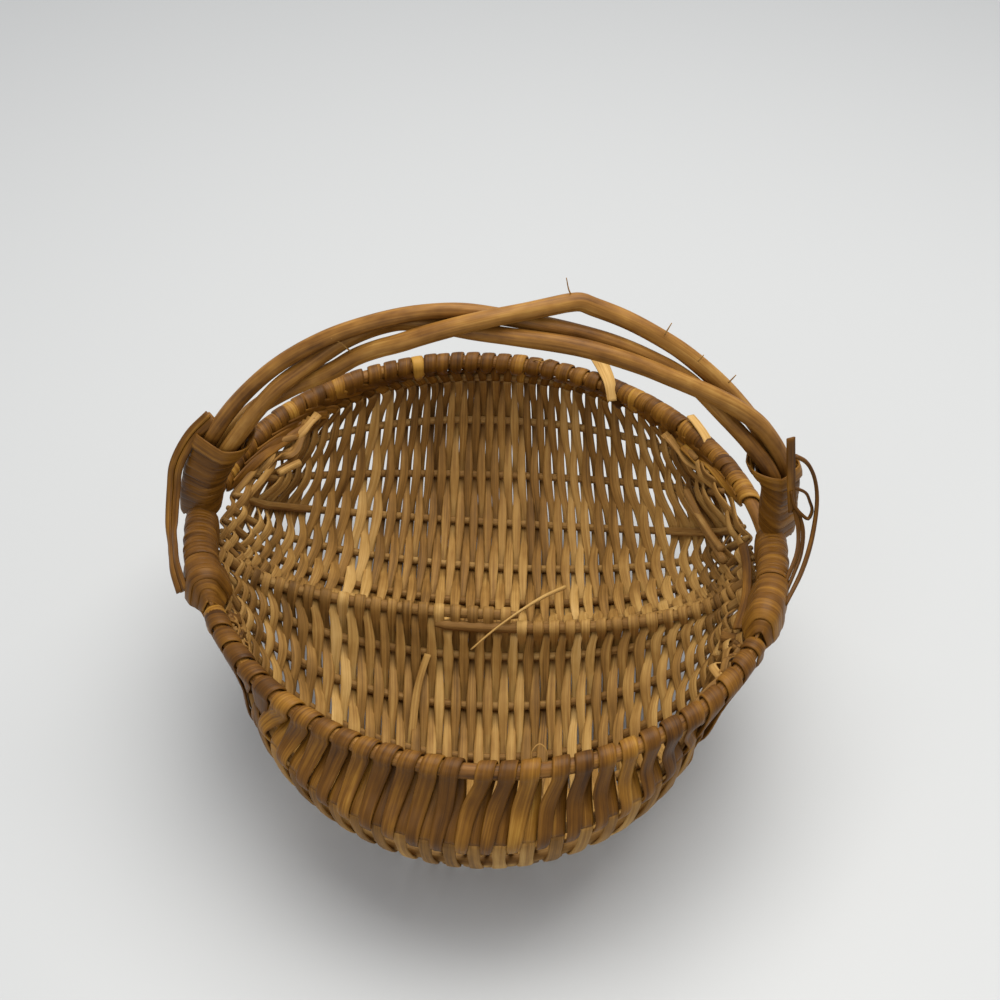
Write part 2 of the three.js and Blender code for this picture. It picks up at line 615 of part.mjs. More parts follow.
for (const [word, ear] of Object.entries(EARS)) {
  const { columnEnd, footStart, footEnd } = bindingPlaces(ear);
  const tallHalf = alongRimUp / 2;
  const core = { offsetOut: 0, offsetUp: tallHalf, tallHalf };
  add(`ear_column_wrap_${word}`, winding(`ear_column_wrap_${word}`, {
    turns: ear.columnTurns,
    steps: BINDING_STEPS,
    width: COLUMN_WIDTH,
    thick: REED_THICK,
    section: { ...core, radius: columnRadius(ear) },
    frameAt: rimFrame(earAngle(ear.side, ear.columnBack), earAngle(ear.side, columnEnd)),
  }), wrapReed);
  add(`ear_foot_wrap_${word}`, winding(`ear_foot_wrap_${word}`, {
    turns: ear.footTurns,
    steps: BINDING_STEPS,
    width: FOOT_WIDTH,
    thick: REED_THICK,
    section: { ...core, radius: footRadius(ear) },
    frameAt: rimFrame(earAngle(ear.side, footStart), earAngle(ear.side, footEnd)),
  }), wrapReed);

  const arc = (Math.PI * (handleHalfSpan + HANDLE_HEIGHT)) / 2;
  const firstTurn = turnAtHeight(alongRimUp + ROD_BEND + LASHING_WIDTH / 2 + CLEARANCE);
  const lastTurn = firstTurn + (ear.lashingTurns * LASHING_PITCH) / arc;
  const place = (share) => {
    const fromLeft = lerp(firstTurn, lastTurn, share);
    return ear.side < 0 ? fromLeft : 1 - fromLeft;
  };
  add(`handle_lashing_${word}`, winding(`handle_lashing_${word}`, {
    turns: ear.lashingTurns,
    steps: BINDING_STEPS,
    width: LASHING_WIDTH,
    thick: REED_THICK,
    section: bundleSection(place(0), place(1)),
    frameAt: (share) => handleFrame(place(share)),
  }), wrapReed);
}

// Loose reeds that the ears hold
const curvePoints = (points) => new THREE.CatmullRomCurve3(points, false, 'centripetal')
  .getSpacedPoints(LOOSE_STEPS);
const besideEar = (side, places) => places
  .map(([out, y, heightShare]) => new THREE.Vector3(side * (RIM_RADIUS + out), y, heightShare * HANDLE_HEIGHT));

function addStrip(name, points) {
  const awayFromMiddle = (point) => new THREE.Vector3(point.x, point.y, 0).normalize();
  add(name, strip(curvePoints(points), STRAP_WIDTH, STRAP_THICK, awayFromMiddle), wrapReed);
}

function addStrand(name, points, radius, material) {
  add(name, rod(curvePoints(points), () => radius, REED_SIDES), material);
}

addStrip('outer_strap_left', besideEar(-1, OUTER_STRAP_PLACES));
addStrip('upright_strip_end_right', besideEar(1, UPRIGHT_STRIP_PLACES));
const innerStripInset = windingReach(footRadius(EARS.right), BINDING_STEPS) + CLEARANCE + STRAP_THICK / 2;
const insideRim = (y) => rimPoint(earAngle(1, y), -innerStripInset, INNER_STRIP_Z);
addStrip('inner_strip_right', INNER_STRIP_Y.map(insideRim));
addStrand('loose_strand_right', besideEar(1, LOOSE_STRAND_PLACES), STRAND_RADIUS, wrapReed);

// A place just inside the ribs, part of the way from one rib row to the next
function insideWall([row, degrees]) {
  const places = wallSurface(rad(degrees), -(RIB_RADIUS + LOOSE_RIB_RADIUS + 2 * CLEARANCE), 0);
  const first = Math.floor(row);
  return places[first].clone().lerp(places[first + 1], row - first);
}

addStrand('loose_rib_right_upper', LOOSE_RIB_UPPER_PLACES.map(insideWall), LOOSE_RIB_RADIUS, ribWood);
addStrand('loose_rib_right_lower', LOOSE_RIB_LOWER_PLACES.map(insideWall), LOOSE_RIB_RADIUS, ribWood);

// The origin is under the middle of the whole basket, on the floor
basket.updateMatrixWorld(true);
const box = new THREE.Box3().setFromObject(basket);
basket.position.set(-(box.min.x + box.max.x) / 2, -(box.min.y + box.max.y) / 2, -box.min.z);
basket.updateMatrixWorld(true);

export default basket;
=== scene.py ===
import math
import random

import bpy
import numpy as np
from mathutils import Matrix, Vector


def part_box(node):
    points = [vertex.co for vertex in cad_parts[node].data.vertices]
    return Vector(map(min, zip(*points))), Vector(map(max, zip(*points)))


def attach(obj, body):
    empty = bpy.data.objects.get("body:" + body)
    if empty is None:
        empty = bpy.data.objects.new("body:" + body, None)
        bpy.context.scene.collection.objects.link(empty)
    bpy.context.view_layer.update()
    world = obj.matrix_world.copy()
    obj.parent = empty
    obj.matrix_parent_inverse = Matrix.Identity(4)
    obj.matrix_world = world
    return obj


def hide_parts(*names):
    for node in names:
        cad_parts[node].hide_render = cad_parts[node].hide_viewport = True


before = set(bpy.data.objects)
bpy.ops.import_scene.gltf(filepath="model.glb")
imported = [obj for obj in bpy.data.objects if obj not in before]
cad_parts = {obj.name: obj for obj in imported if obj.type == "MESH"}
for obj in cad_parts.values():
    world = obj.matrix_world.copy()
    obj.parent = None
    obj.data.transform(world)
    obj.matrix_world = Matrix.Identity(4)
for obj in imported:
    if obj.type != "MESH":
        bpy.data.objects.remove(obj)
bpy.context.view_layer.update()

# A small rib basket with two lobes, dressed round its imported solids.
# Lengths are in millimetres from the middle of the rim hoop, and angles are in degrees, until a mesh is made.
# X runs from the left ear to the right ear, Y to the back and Z up.
MM = 0.001
rim_low, rim_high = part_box("rim_hoop")
RIM_MIDDLE = (np.array(rim_low) + np.array(rim_high)) / 2

# Rim hoop
RIM_RADIUS = 101.4
RIM_OVAL = 3.9
RIM_OVAL_ANGLE = 116.5
RIM_ROD_RADIUS = 2.5

# Lobes, keel and ribs, as in the solids
LOBE_RADIUS = 59
LOBE_DROP = 15
KEEL_Y = -1.7
KEEL_RISE = 15.5
KEEL_ROD_RADIUS = 2.0
KEEL_LAP_SHIFT = 3.4
KEEL_LEFT_END = 13
KEEL_RIGHT_END = -18
RIB_RADIUS = 1.6
RIB_TO_KEEL = 6.8
KEEL_LEFT_Y = -4
KEEL_RIGHT_Y = -16
END_DROP = 6
END_INSET = 11
RIB_REACH = 0.992

# Each lobe: its side of the keel, its swell and the angle of its first rib, then for each rib its share of the way
# to the keel, and the Y of its left and right ends
LOBES = {
    "back": (
        1, 7.9, 3, [0, 0.142, 0.303, 0.441, 0.585, 0.727, 0.867, 1],
        [52, 45, 36, 25, 18.5, 12.5, 7, 2], [46, 38, 28, 9, 3.5, -1.5, -6.5, -11],
    ),
    "front": (
        -1, 11.3, -7, [0, 0.15, 0.293, 0.436, 0.579, 0.722, 0.865, 1],
        [-52, -45, -39, -33.5, -28, -22.5, -17, -11], [-57, -51.5, -46, -41, -36, -31, -26, -21],
    ),
}

# Weavers. Rows lie closer in the middle: the step from one row to the next, in degrees of turn, at some turns. Here
# and below, 1 stands for the back and -1 for the front
ROW_FIRST_TURN = 4.5
ROW_STEP_TURNS = [0, 50, 65, 90]
ROW_STEPS = [2.65, 2.65, 1.97, 1.95]
ROW_WANDER = 0.2
RIM_CROWDING = {1: 0.047, -1: -0.03}
RIB_TURNS = (9, 171)
EXPOSED_RIB = 3
FRONT_COVERED_RIB = 16
EXPOSED_RIB_TURNS = (34, 144)
REED_THICK = 1.05
WIDEST_REED = 5.0
CROSSING_WIDTH = 1.3
WIDTH_SPREAD = (0.94, 1.05)
WEAVER_STEP = 2.2
ROW_END_DROP = 3
PINCH = (0.98, 1.05)
KEEL_HUG = (-62, 0, 62)
SAME_CROSSING = 2.9
# Darkening towards the rim, partly weathering and partly painted shade: the depth over which it fades, and its share
# at the back rim
RIM_DARKENING_DEPTH = 45
BACK_RIM_DARKENING = 0.85
# Painted shade on the back wall: how dark it gets, where it starts and over how far it grows
BACK_PAINTED_SHADE = 0.55
BACK_PAINTED_SHADE_FROM = 20
BACK_PAINTED_SHADE_OVER = 60

# On the last ribs, counted back from the front rim, rows swing out to stand under their place on it. On the left they
# also lean
FRONT_SWING = {-1: 1.0, -2: 0.8, -3: 0.5, -4: 0.2}
FRONT_LEAN = 5
FRONT_LEAN_END_X = 45
FRONT_LEAN_FADE = 40

# Rows over the tips of the ribs at the ears. Their shares run from the tip to the first row
EAR_ROW_SHARES = (0.12, 0.42, 0.72)
EAR_ROW_WIDTH = 2.9
EAR_ROW_THICK = 0.8
EAR_RIB_SHARE = 0.8

# Rim loops, and where rows end at the ears
LOOPED_ANGLES = {1: (10, 165.5), -1: (203, 328)}
LEG_SHARE = 0.5
LEG_OUT = 1.7
TUCK_REACH = {1: 13.0, -1: 5.0}
EAR_TUCK_IN = 5.2
EAR_TUCK_DOWN = 4.0
LOOP_SECTIONS = [205, 165, 125, 90, 55, 15, -25]
LOOP_SLANT = 0.55
LOOP_OVER_ROW = 1.2
LOOP_END_WIDTH = 1.6
TAPERED_LEG = 0.74
LOOP_LIFT = (0.15, 0.4)
LOOP_STEP = 1.2
LOOP_TINT_SPREAD = 0.4
LOOP_WIDTHS = {1: (4.9, 5.5), -1: (5.3, 6.1)}
FRONT_LOOP_SPACING = 7.2
WIDEST_LOOP = 1.26
LEG_WIDTH = 1.2
OUTER_LEG_WIDTH = 1.4
FILLED_GAP = 8
FILLER_LEGS = (6.0, 9.0)
FILLER_BEND = 0.55
FILLER_OUTS = (-0.4, -2.6, 3.0, 1.6)
FILLER_TIP_WIDTH = 1.8
FILLER_BEND_WIDTH = 0.85
FRONT_FILLERS = (203.8, 328.6)
BARE_RIM = {38.4: 1.6, 104: 2.6, 266.3: 2.0, 279.6: 1.3}
PUSH_REACH = 8

# Handle: as in the solids, each place is a share of the length, then outward and back from the middle line
HANDLE_INSET = 0.4
HANDLE_HEIGHT = 89.5
HANDLE_LEAN = 0.07
HANDLE_LEFT_Y = 10.5
HANDLE_RIGHT_Y = -3.5
ROD_BEND = 6
HANDLE_RODS = [
    {"radii": (2.7, 2.7), "path": [
        (0, 2.6, 0), (0.1, 2.6, 0), (0.17, 2.6, 0.2), (0.24, 3.7, 0.8), (0.31, 4.9, 1.1), (0.42, 4.9, 1.3),
        (0.47, 3.2, 2.3), (0.52, -0.7, 3.7), (0.57, -1.5, 1.8), (0.68, -2.4, 1.7), (0.74, -2.4, 2),
        (0.79, -2.9, 0.8), (0.84, -0.9, -1), (0.9, 1.9, -2.5), (0.94, -0.4, -2.6), (1, -2, -2.6),
    ]},
    {"radii": (2.8, 3.0), "path": [
        (0, -3.2, -3.2), (0.1, -3.4, -3.2), (0.18, -3.7, -3.2), (0.24, -1.9, -2.6), (0.27, -0.8, -1.7),
        (0.3, -1.1, 0.8), (0.33, -0.6, 2.7), (0.36, 0.3, 4.3), (0.41, 0.6, 5.2), (0.44, -0.9, 3.8),
        (0.49, -3.7, 0.3), (0.54, -3.6, -3.4), (0.62, -2.8, -5), (0.69, -2, -4.8), (0.74, 0, -3.8), (0.8, 3.8, -1.6),
        (0.84, 5.6, 0.4), (0.9, 6.2, 2), (0.94, 4.2, 2.2), (1, 2.2, 2.4),
    ]},
    {"radii": (3.0, 2.9), "path": [
        (0, -2.6, 4.4), (0.1, -3, 4.4), (0.2, -4.6, 4.7), (0.27, -6.2, 3), (0.3, -6.9, 2.2), (0.33, -6.6, 1.1),
        (0.36, -4.5, -0.3), (0.39, -2.6, -2.4), (0.42, -1.4, -3.9), (0.49, 1.8, -2.8), (0.54, 3.8, 0.4),
        (0.575, 6.1, 3.4), (0.59, 7.4, 4.7), (0.61, 6.4, 5), (0.7, 3.9, 4.6), (0.78, 2.4, 5), (0.87, 3, 6.4),
        (0.93, 2.6, 7.9), (1, 0.4, 8.4),
    ]},
]
FORWARD_CLEARANCE = 0.35
FORWARD_ROD_RADIUS = 3.0
BEND_STATIONS = 5
HANDLE_STATIONS = 80
END_CLEARANCE = 0.5

# Camera
CAMERA_PLACE = (5.48, -386.8, 362.0)
CAMERA_PITCH_DOWN = 41.7

BACK = np.array([0.0, 1.0, 0.0])
UP = np.array([0.0, 0.0, 1.0])
NEAR = 1e-6
STEEP = 0.9


def lerp(a, b, share):
    return a + (b - a) * share


def unit(vectors):
    return vectors / np.linalg.norm(vectors, axis=-1, keepdims=True)


def square_to(vectors, along):
    """What is left of vectors across a direction, as units."""
    return unit(vectors - np.sum(vectors * along, axis=1, keepdims=True) * along)


def smooth_step(value):
    value = np.clip(value, 0.0, 1.0)
    return value * value * (3 - 2 * value)


def between(t, here, there, start, end):
    """From start at one knot to end at another."""
    return (there - t) / (there - here) * start + (t - here) / (there - here) * end


def spline(points, step):
    """A centripetal Catmull-Rom curve. Returns its points and where each lies, counted in control points."""
    points = np.asarray(points, float)
    padded = np.vstack([2 * points[0] - points[1], points, 2 * points[-1] - points[-2]])
    knots = np.concatenate([[0], np.cumsum(np.sqrt(np.linalg.norm(np.diff(padded, axis=0), axis=1)) + 1e-9)])
    out, places = [], []
    for i in range(len(points) - 1):
        p0, p1, p2, p3 = padded[i:i + 4]
        t0, t1, t2, t3 = knots[i:i + 4]
        count = max(2, int(math.ceil(np.linalg.norm(p2 - p1) / step)))
        shares = np.arange(count) / count
        if i == len(points) - 2:
            shares = np.append(shares, 1.0)
        t = (t1 + (t2 - t1) * shares)[:, None]
        a1, a2, a3 = between(t, t0, t1, p0, p1), between(t, t1, t2, p1, p2), between(t, t2, t3, p2, p3)
        b1, b2 = between(t, t0, t2, a1, a2), between(t, t1, t3, a2, a3)
        out.append(between(t, t1, t2, b1, b2))
        places.append(i + shares)
    return np.vstack(out), np.concatenate(places)


def tangents(points):
    return unit(np.gradient(points, axis=0))


def path_lengths(points):
    return np.concatenate([[0], np.cumsum(np.linalg.norm(np.diff(points, axis=0), axis=1))])


def at_places(values, places):
    """Values given at control points, read off between them."""
    values = np.asarray(values, float)
    indices = np.arange(len(values))
    if values.ndim == 1:
        return np.interp(places, indices, values)
    return np.stack([np.interp(places, indices, column) for column in values.T], axis=-1)


def add_object(name, data):
    thing = bpy.data.objects.new(name, data)
    bpy.context.scene.collection.objects.link(thing)
    return thing


class Piece:
    """Tubes and strips that become one mesh object."""

    def __init__(self, name):
        self.name = name
        self.points, self.faces, self.count = [], [], 0
        self.values = {word: [] for word in ("lengthwise", "crosswise", "tint", "weathering")}

    def add_tube(self, rings, lengths, widths, tint, weathering, closed=False):
        """Rings are stations by sides by 3. Lengths run along them and widths round them, in millimetres."""
        stations, sides = rings.shape[:2]
        base = self.count
        self.points.append(rings.reshape(-1, 3))
        for i in range(stations if closed else stations - 1):
            here, there = base + i * sides, base + (i + 1) % stations * sides
            for j in range(sides):
                k = (j + 1) % sides
                self.faces.append((here + j, here + k, there + k, there + j))
        if not closed:
            first = range(base, base + sides)
            self.faces.append(tuple(first[::-1]))
            self.faces.append(tuple(j + (stations - 1) * sides for j in first))
        for word, values in zip(self.values, (lengths[:, None], widths, tint, weathering)):
            self.values[word].append(np.broadcast_to(values, (stations, sides)).reshape(-1))
        self.count += stations * sides

    def build(self, slot, *replaced):
        """Makes the object, whose slot has its material's name."""
        mesh = bpy.data.meshes.new(self.name)
        mesh.from_pydata((np.vstack(self.points) * MM + RIM_MIDDLE).tolist(), [], self.faces)
        for word, values in self.values.items():
            layer = mesh.attributes.new(word, "FLOAT", "POINT")
            layer.data.foreach_set("value", np.concatenate(values).astype(np.float32))
        mesh.validate()
        mesh.shade_smooth()
        piece = add_object(self.name, mesh)
        mesh.materials.append(materials[slot])
        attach(piece, "root")
        if replaced:
            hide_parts(*replaced)


# The flat reed's section, in shares of its width and thickness. Its underside is worn less than its face
REED_SECTION = np.array([
    (-0.5, 0.0), (-0.46, 0.3), (-0.32, 0.46), (0.0, 0.5), (0.32, 0.46), (0.46, 0.3),
    (0.5, 0.0), (0.46, -0.32), (0.3, -0.5), (0.0, -0.46), (-0.3, -0.5), (-0.46, -0.32),
])
UNDERSIDE_WEAR = 0.6


def add_reed(piece, points, facing, widths, thick, tint, shift, reed_wear_and_shade=1.0):
    """A flat reed along points, its broad face towards the facing direction. The shift is that of its grain."""
    along = tangents(points)
    out = square_to(facing, along)
    across = np.cross(along, out)
    widths = np.broadcast_to(widths, len(points))[:, None]
    rings = (
        points[:, None] + across[:, None] * REED_SECTION[:, :1] * widths[..., None]
        + out[:, None] * REED_SECTION[:, 1:] * thick
    )
    # Blend to the aged colours: weathering, more on the face than the underside, and on weavers and rim loops also
    # painted shade
    weathering = np.broadcast_to(reed_wear_and_shade, len(points))[:, None] * np.where(REED_SECTION[:, 1] > 0, 1.0, UNDERSIDE_WEAR)
    piece.add_tube(rings, path_lengths(points), REED_SECTION[:, 0] * widths + shift, tint, weathering)


# Waves in a rod's radius: radians for each millimetre, shift by the seed, lobes round it, and height
ROD_WAVES = ((0.11, 1.0, 2, 1.0), (0.27, 3.1, 3, 0.6))
ROD_GRAIN_SHIFT = 10


def add_rod(piece, points, radii, sides, tint, seed, wobble=0.03, weathering=0.5):
    """A round rod along points, a little uneven."""
    along = tangents(points)
    side = np.zeros_like(points)
    side[0] = unit(np.cross(along[0], UP if abs(along[0][2]) < STEEP else np.array([1.0, 0, 0])))
    for i in range(1, len(points)):
        side[i] = unit(side[i - 1] - along[i] * np.dot(side[i - 1], along[i]))
    across = np.cross(along, side)
    lengths = path_lengths(points)
    angles = 2 * np.pi * np.arange(sides) / sides
    uneven = 1 + wobble * sum(
        height * np.sin(lengths[:, None] * pace + shift * seed + lobes * angles)
        for pace, shift, lobes, height in ROD_WAVES
    )
    radii = np.broadcast_to(radii, len(points))[:, None] * uneven
    rings = (
        points[:, None] + side[:, None] * (radii * np.cos(angles))[..., None]
        + across[:, None] * (radii * np.sin(angles))[..., None]
    )
    piece.add_tube(rings, lengths, np.mean(radii) * angles + ROD_GRAIN_SHIFT * seed, tint, weathering)


# The shape of the basket, as in the solids
def rim_radius(angle):
    return RIM_RADIUS + RIM_OVAL * np.cos(2 * np.radians(angle - RIM_OVAL_ANGLE))


def rim_point(angle, out=0.0, up=0.0):
    radius = rim_radius(angle) + out
    turn = np.radians(angle)
    return np.stack([radius * np.cos(turn), radius * np.sin(turn), up + 0 * turn], axis=-1)


def rim_out(angle):
    turn = np.radians(angle)
    return np.stack([np.cos(turn), np.sin(turn), 0 * turn], axis=-1)


def ear_angle(side, y):
    angle = math.degrees(math.asin(y / RIM_RADIUS))
    return angle if side > 0 else 180 - angle


class RibLine:
    """Half of an ellipse from the left ear to the right ear."""

    def __init__(self, left_y, right_y, middle_y, middle_z):
        radius = RIM_RADIUS - END_INSET
        left = np.array([-math.sqrt(radius ** 2 - left_y ** 2), left_y, -END_DROP])
        right = np.array([math.sqrt(radius ** 2 - right_y ** 2), right_y, -END_DROP])
        self.middle = (left + right) / 2
        self.half = (right - left) / 2
        self.bulge = np.array([0, middle_y - self.middle[1], middle_z - self.middle[2]])

    def at(self, turn):
        turn = np.asarray(turn, float)[..., None]
        return self.middle - np.cos(turn) * self.half + np.sin(turn) * self.bulge

    def along(self, turn):
        return unit(np.sin(turn) * self.half + np.cos(turn) * self.bulge)

    def turn_at(self, x):
        """The turn at which the rib passes an X, or None past its ends."""
        share = (self.middle[0] - x) / self.half[0]
        return math.acos(share) if abs(share) < RIB_REACH else None


def lobe_ribs(face, swell, first_rib, shares, left_y, right_y):
    lobe_y = face * (RIM_RADIUS - LOBE_RADIUS + swell)
    first = math.radians(first_rib)
    last = -math.acos((face * (KEEL_Y - lobe_y) + RIB_TO_KEEL) / LOBE_RADIUS)
    lines = []
    for share, left, right in zip(shares, left_y, right_y):
        angle = lerp(first, last, share)
        y = lobe_y + face * LOBE_RADIUS * math.cos(angle)
        lines.append(RibLine(left, right, y, LOBE_RADIUS * math.sin(angle) - LOBE_DROP))
    return lines


ribs = {word: lobe_ribs(*lobe) for word, lobe in LOBES.items()}
keel_z = max(lines[-1].at(math.pi / 2)[2] for lines in ribs.values()) + KEEL_RISE
keel = RibLine(KEEL_LEFT_Y, KEEL_RIGHT_Y, KEEL_Y, keel_z)
lower_keel = RibLine(KEEL_LEFT_Y, KEEL_RIGHT_Y, KEEL_Y - KEEL_LAP_SHIFT, keel_z - KEEL_LAP_SHIFT)

# Every rib from the back rim to the front rim
rows_of_ribs = ribs["back"] + [keel] + ribs["front"][::-1]
KEEL_PLACE = len(ribs["back"])


# Materials
def new_material(name):
    """A bare material, and a function that adds a node to it, whose inputs are set or linked."""
    material = bpy.data.materials.new(name)
    material.use_nodes = True
    tree = material.node_tree
    tree.nodes.clear()

    def node(kind, inputs=None, **settings):
        new = tree.nodes.new(kind)
        for key, value in settings.items():
            setattr(new, key, value)
        for key, value in (inputs or {}).items():
            if isinstance(value, bpy.types.NodeSocket):
                tree.links.new(value, new.inputs[key])
            else:
                new.inputs[key].default_value = value
        return new

    return material, node


def linear(hex_colour):
    """A hex colour as linear values."""
    values = [int(hex_colour[i:i + 2], 16) / 255 for i in (0, 2, 4)]
    return tuple(v / 12.92 if v <= 0.04045 else ((v + 0.055) / 1.055) ** 2.4 for v in values)


def colour_ramp(node, places, colours, factor):
    """A ramp from dark to pale, through the hex colours in one string."""
    ramp = node("ShaderNodeValToRGB", {"Fac": factor})
    elements = ramp.color_ramp.elements
    while len(elements) < len(places):
        elements.new(0.5)
    for element, place, colour in zip(elements, places, colours.split()):
        element.position = place
        element.color = (*linear(colour), 1)
    return ramp.outputs["Color"]


SHADE_PLACES = (0.2, 0.45, 0.62, 0.85)
ROD_SHADE_PLACES = (0.2, 0.42, 0.62, 0.85)

# Grain: how fast it changes for each millimetre along the wood and across it, and its detail
FINE_GRAIN = (0.035, 1.0, 3.0)
BROAD_GRAIN = (0.02, 0.28, 2.0)
PATCHES = (0.06, 0.12, 3.0)
TINT_JUMP = 37.0
TINT_SHIFT = 0.55
UNEVEN_GLOSS = 0.3
BROAD_BUMP = 0.8


def wood_material(name, fresh, aged_and_shaded, roughness, grain, coat=0.0, mottling=0.5, places=SHADE_PLACES):
    """Split or peeled wood. Grain runs along it, and its tint and its blend to the aged colours, which holds
    weathering and, on the weave and rim loops, painted shade, come from the piece.
    """
    material, node = new_material(name)
    lengthwise, crosswise, tint, weathering = (
        node("ShaderNodeAttribute", attribute_name=word).outputs["Fac"]
        for word in ("lengthwise", "crosswise", "tint", "weathering")
    )

    def math_node(operation, a, b):
        return node("ShaderNodeMath", {0: a, 1: b}, operation=operation).outputs[0]

    def times(a, b):
        return math_node("MULTIPLY", a, b)

    def shifted(value, other, amount):
        """A value, moved by how far another one is from a half."""
        return math_node("ADD", value, times(math_node("SUBTRACT", other, 0.5), amount))

    def streaks(along, across, detail):
        vector = node("ShaderNodeCombineXYZ", {
            "X": times(lengthwise, along), "Y": times(crosswise, across), "Z": times(tint, TINT_JUMP),
        }).outputs[0]
        return node("ShaderNodeTexNoise", {
            "Vector": vector, "Scale": 1.0, "Detail": detail, "Roughness": 0.6,
        }).outputs["Fac"]

    fine, broad = (streaks(along, grain * across, detail) for along, across, detail in (FINE_GRAIN, BROAD_GRAIN))
    patches = streaks(*PATCHES)
    mixed = math_node("ADD", times(fine, 0.5), times(broad, 0.5))
    shade = shifted(shifted(mixed, tint, TINT_SHIFT), patches, mottling)
    ramps = {6: colour_ramp(node, places, fresh, shade), 7: colour_ramp(node, places, aged_and_shaded, shade)}
    colour = node("ShaderNodeMix", {0: weathering, **ramps}, data_type="RGBA").outputs[2]
    bump_height = math_node("ADD", fine, times(broad, BROAD_BUMP))
    bump = node("ShaderNodeBump", {"Height": bump_height, "Strength": 0.55, "Distance": 0.00025})
    shader = node("ShaderNodeBsdfPrincipled", {
        "Base Color": colour, "Roughness": shifted(roughness, fine, UNEVEN_GLOSS), "Normal": bump.outputs["Normal"],
        "Coat Weight": coat, "Coat Roughness": 0.35, "Specular IOR Level": 0.16,
    })
    node("ShaderNodeOutputMaterial", {"Surface": shader.outputs[0]})
    return material


# For each slot: its fresh colours and its aged colours, which on the weave and rim loops are also painted shade, from
# dark to pale, roughness, grain, coat, mottling and places of colours
WOODS = {
    "woven_reed": ("60431e 936d37 b08a4d c9a569", "3d240c 634017 7d5524 986f36", 0.6, 1.9),
    "wrap_reed": ("4a2d09 724a15 916625 b78e40", "3d2306 623e0f 82581b a97e34", 0.46, 1.7, 0.03),
    "rib_reed": ("624420 866232 9d7b46 b4935c", "4f3516 724f25 8a6636 a27f49", 0.62, 1.2),
    "rod_wood": ("4b2d0c 7a511f 966a2e b28846", "3e250a 6d471a 895f28 a67c3e", 0.5, 1.6, 0.1, 0.9, ROD_SHADE_PLACES),
}
materials = {slot: wood_material(slot, *wood) for slot, wood in WOODS.items()}

# Ribs and keel rods
RIB_SIDES = 12
RIB_STATIONS = 40
RIB_BENT_STATIONS = 3
RIB_STEP = 2.0
RIB_TIP_IN = 4.8
RIB_TIP_DOWN = 3.8
RIB_TIP_LENGTH = 5
RIB_TIP_SHARE = 0.6


def rib_tip(end):
    """The ribs are cut to a thin tip, which is pushed in under the rim."""
    angle = math.degrees(math.atan2(end[1], end[0]))
    return rim_point(angle, -RIB_TIP_IN, -RIB_TIP_DOWN)


def build_rib(name, line, radius, from_turn, to_turn, seed):
    """A rib or keel rod between two turns, smooth and slightly uneven, with thin tips."""
    points = list(line.at(np.linspace(from_turn, to_turn, RIB_STATIONS)))
    if from_turn == 0:
        points = [rib_tip(points[0])] + points[RIB_BENT_STATIONS:]
    if to_turn == math.pi:
        points = points[:-RIB_BENT_STATIONS] + [rib_tip(points[-1])]
    points = spline(points, RIB_STEP)[0]
    lengths = path_lengths(points)
    ends = np.minimum(lengths, lengths[-1] - lengths)
    radii = radius * (RIB_TIP_SHARE + (1 - RIB_TIP_SHARE) * smooth_step(ends / RIB_TIP_LENGTH))
    tint = 0.35 + 0.3 * ((seed * 0.37) % 1)
    piece = Piece(name + "_reed")
    add_rod(piece, points, radii, RIB_SIDES, tint, seed, wobble=0.02)
    piece.build("rib_reed", name)


for word, seed in (("back", 1.3), ("front", 11.7)):
    for i, line in enumerate(ribs[word]):
        build_rib(f"{word}_rib_{i + 1}", line, RIB_RADIUS, 0, math.pi, seed + i)


def keel_turn(x):
    return math.acos(-x / (RIM_RADIUS - END_INSET))


build_rib("keel_rod_left", keel, KEEL_ROD_RADIUS, 0, keel_turn(KEEL_LEFT_END), seed=23.1)
build_rib("keel_rod_right", lower_keel, KEEL_ROD_RADIUS, keel_turn(KEEL_RIGHT_END), math.pi, seed=24.9)

# Rim hoop, one bent rod, as a closed run of stations
RIM_STEP = 1.5
RIM_SIDES = 16
rim_angles = np.arange(0, 360, RIM_STEP)[:, None]
round_rod = 2 * np.pi * np.arange(RIM_SIDES) / RIM_SIDES
rim_rings = rim_point(rim_angles, RIM_ROD_RADIUS * np.cos(round_rod), RIM_ROD_RADIUS * np.sin(round_rod))
rim_lengths = np.radians(rim_angles[:, 0]) * RIM_RADIUS
piece = Piece("rim_hoop_rod")
piece.add_tube(rim_rings[:, ::-1], rim_lengths, RIM_ROD_RADIUS * round_rod, tint=0.45, weathering=0.5, closed=True)
piece.build("rod_wood", "rim_hoop")

# Weavers. A row crosses every rib at about the same turn
row_degrees = [ROW_FIRST_TURN]
while row_degrees[-1] < 180 - ROW_FIRST_TURN:
    from_ear = min(row_degrees[-1], 180 - row_degrees[-1])
    row_degrees.append(row_degrees[-1] + float(np.interp(from_ear, ROW_STEP_TURNS, ROW_STEPS)))
row_turns = [math.radians(degrees) for degrees in row_degrees[:2 * (len(row_degrees) // 2)]]
ROW_COUNT = len(row_turns)


def rim_angle_of_row(row, face):
    """The angle round the rim at which a row meets it, at the back (1) or the front (-1)."""
    turn = row_turns[row]
    return 180 - face * math.degrees(turn + RIM_CROWDING[face] * math.sin(2 * turn))


def turn_on_rib(place, row):
    """The turn at which a row crosses a rib, or None past the rib's ends."""
    line, turn = rows_of_ribs[place], row_turns[row]
    swing = FRONT_SWING.get(place - len(rows_of_ribs), 0)
    if not swing:
        return turn
    x = float(rim_point(rim_angle_of_row(row, -1))[0])
    x -= FRONT_LEAN * float(smooth_step((FRONT_LEAN_END_X - x) / FRONT_LEAN_FADE))
    return line.turn_at(lerp(float(line.at(turn)[0]), x, swing))


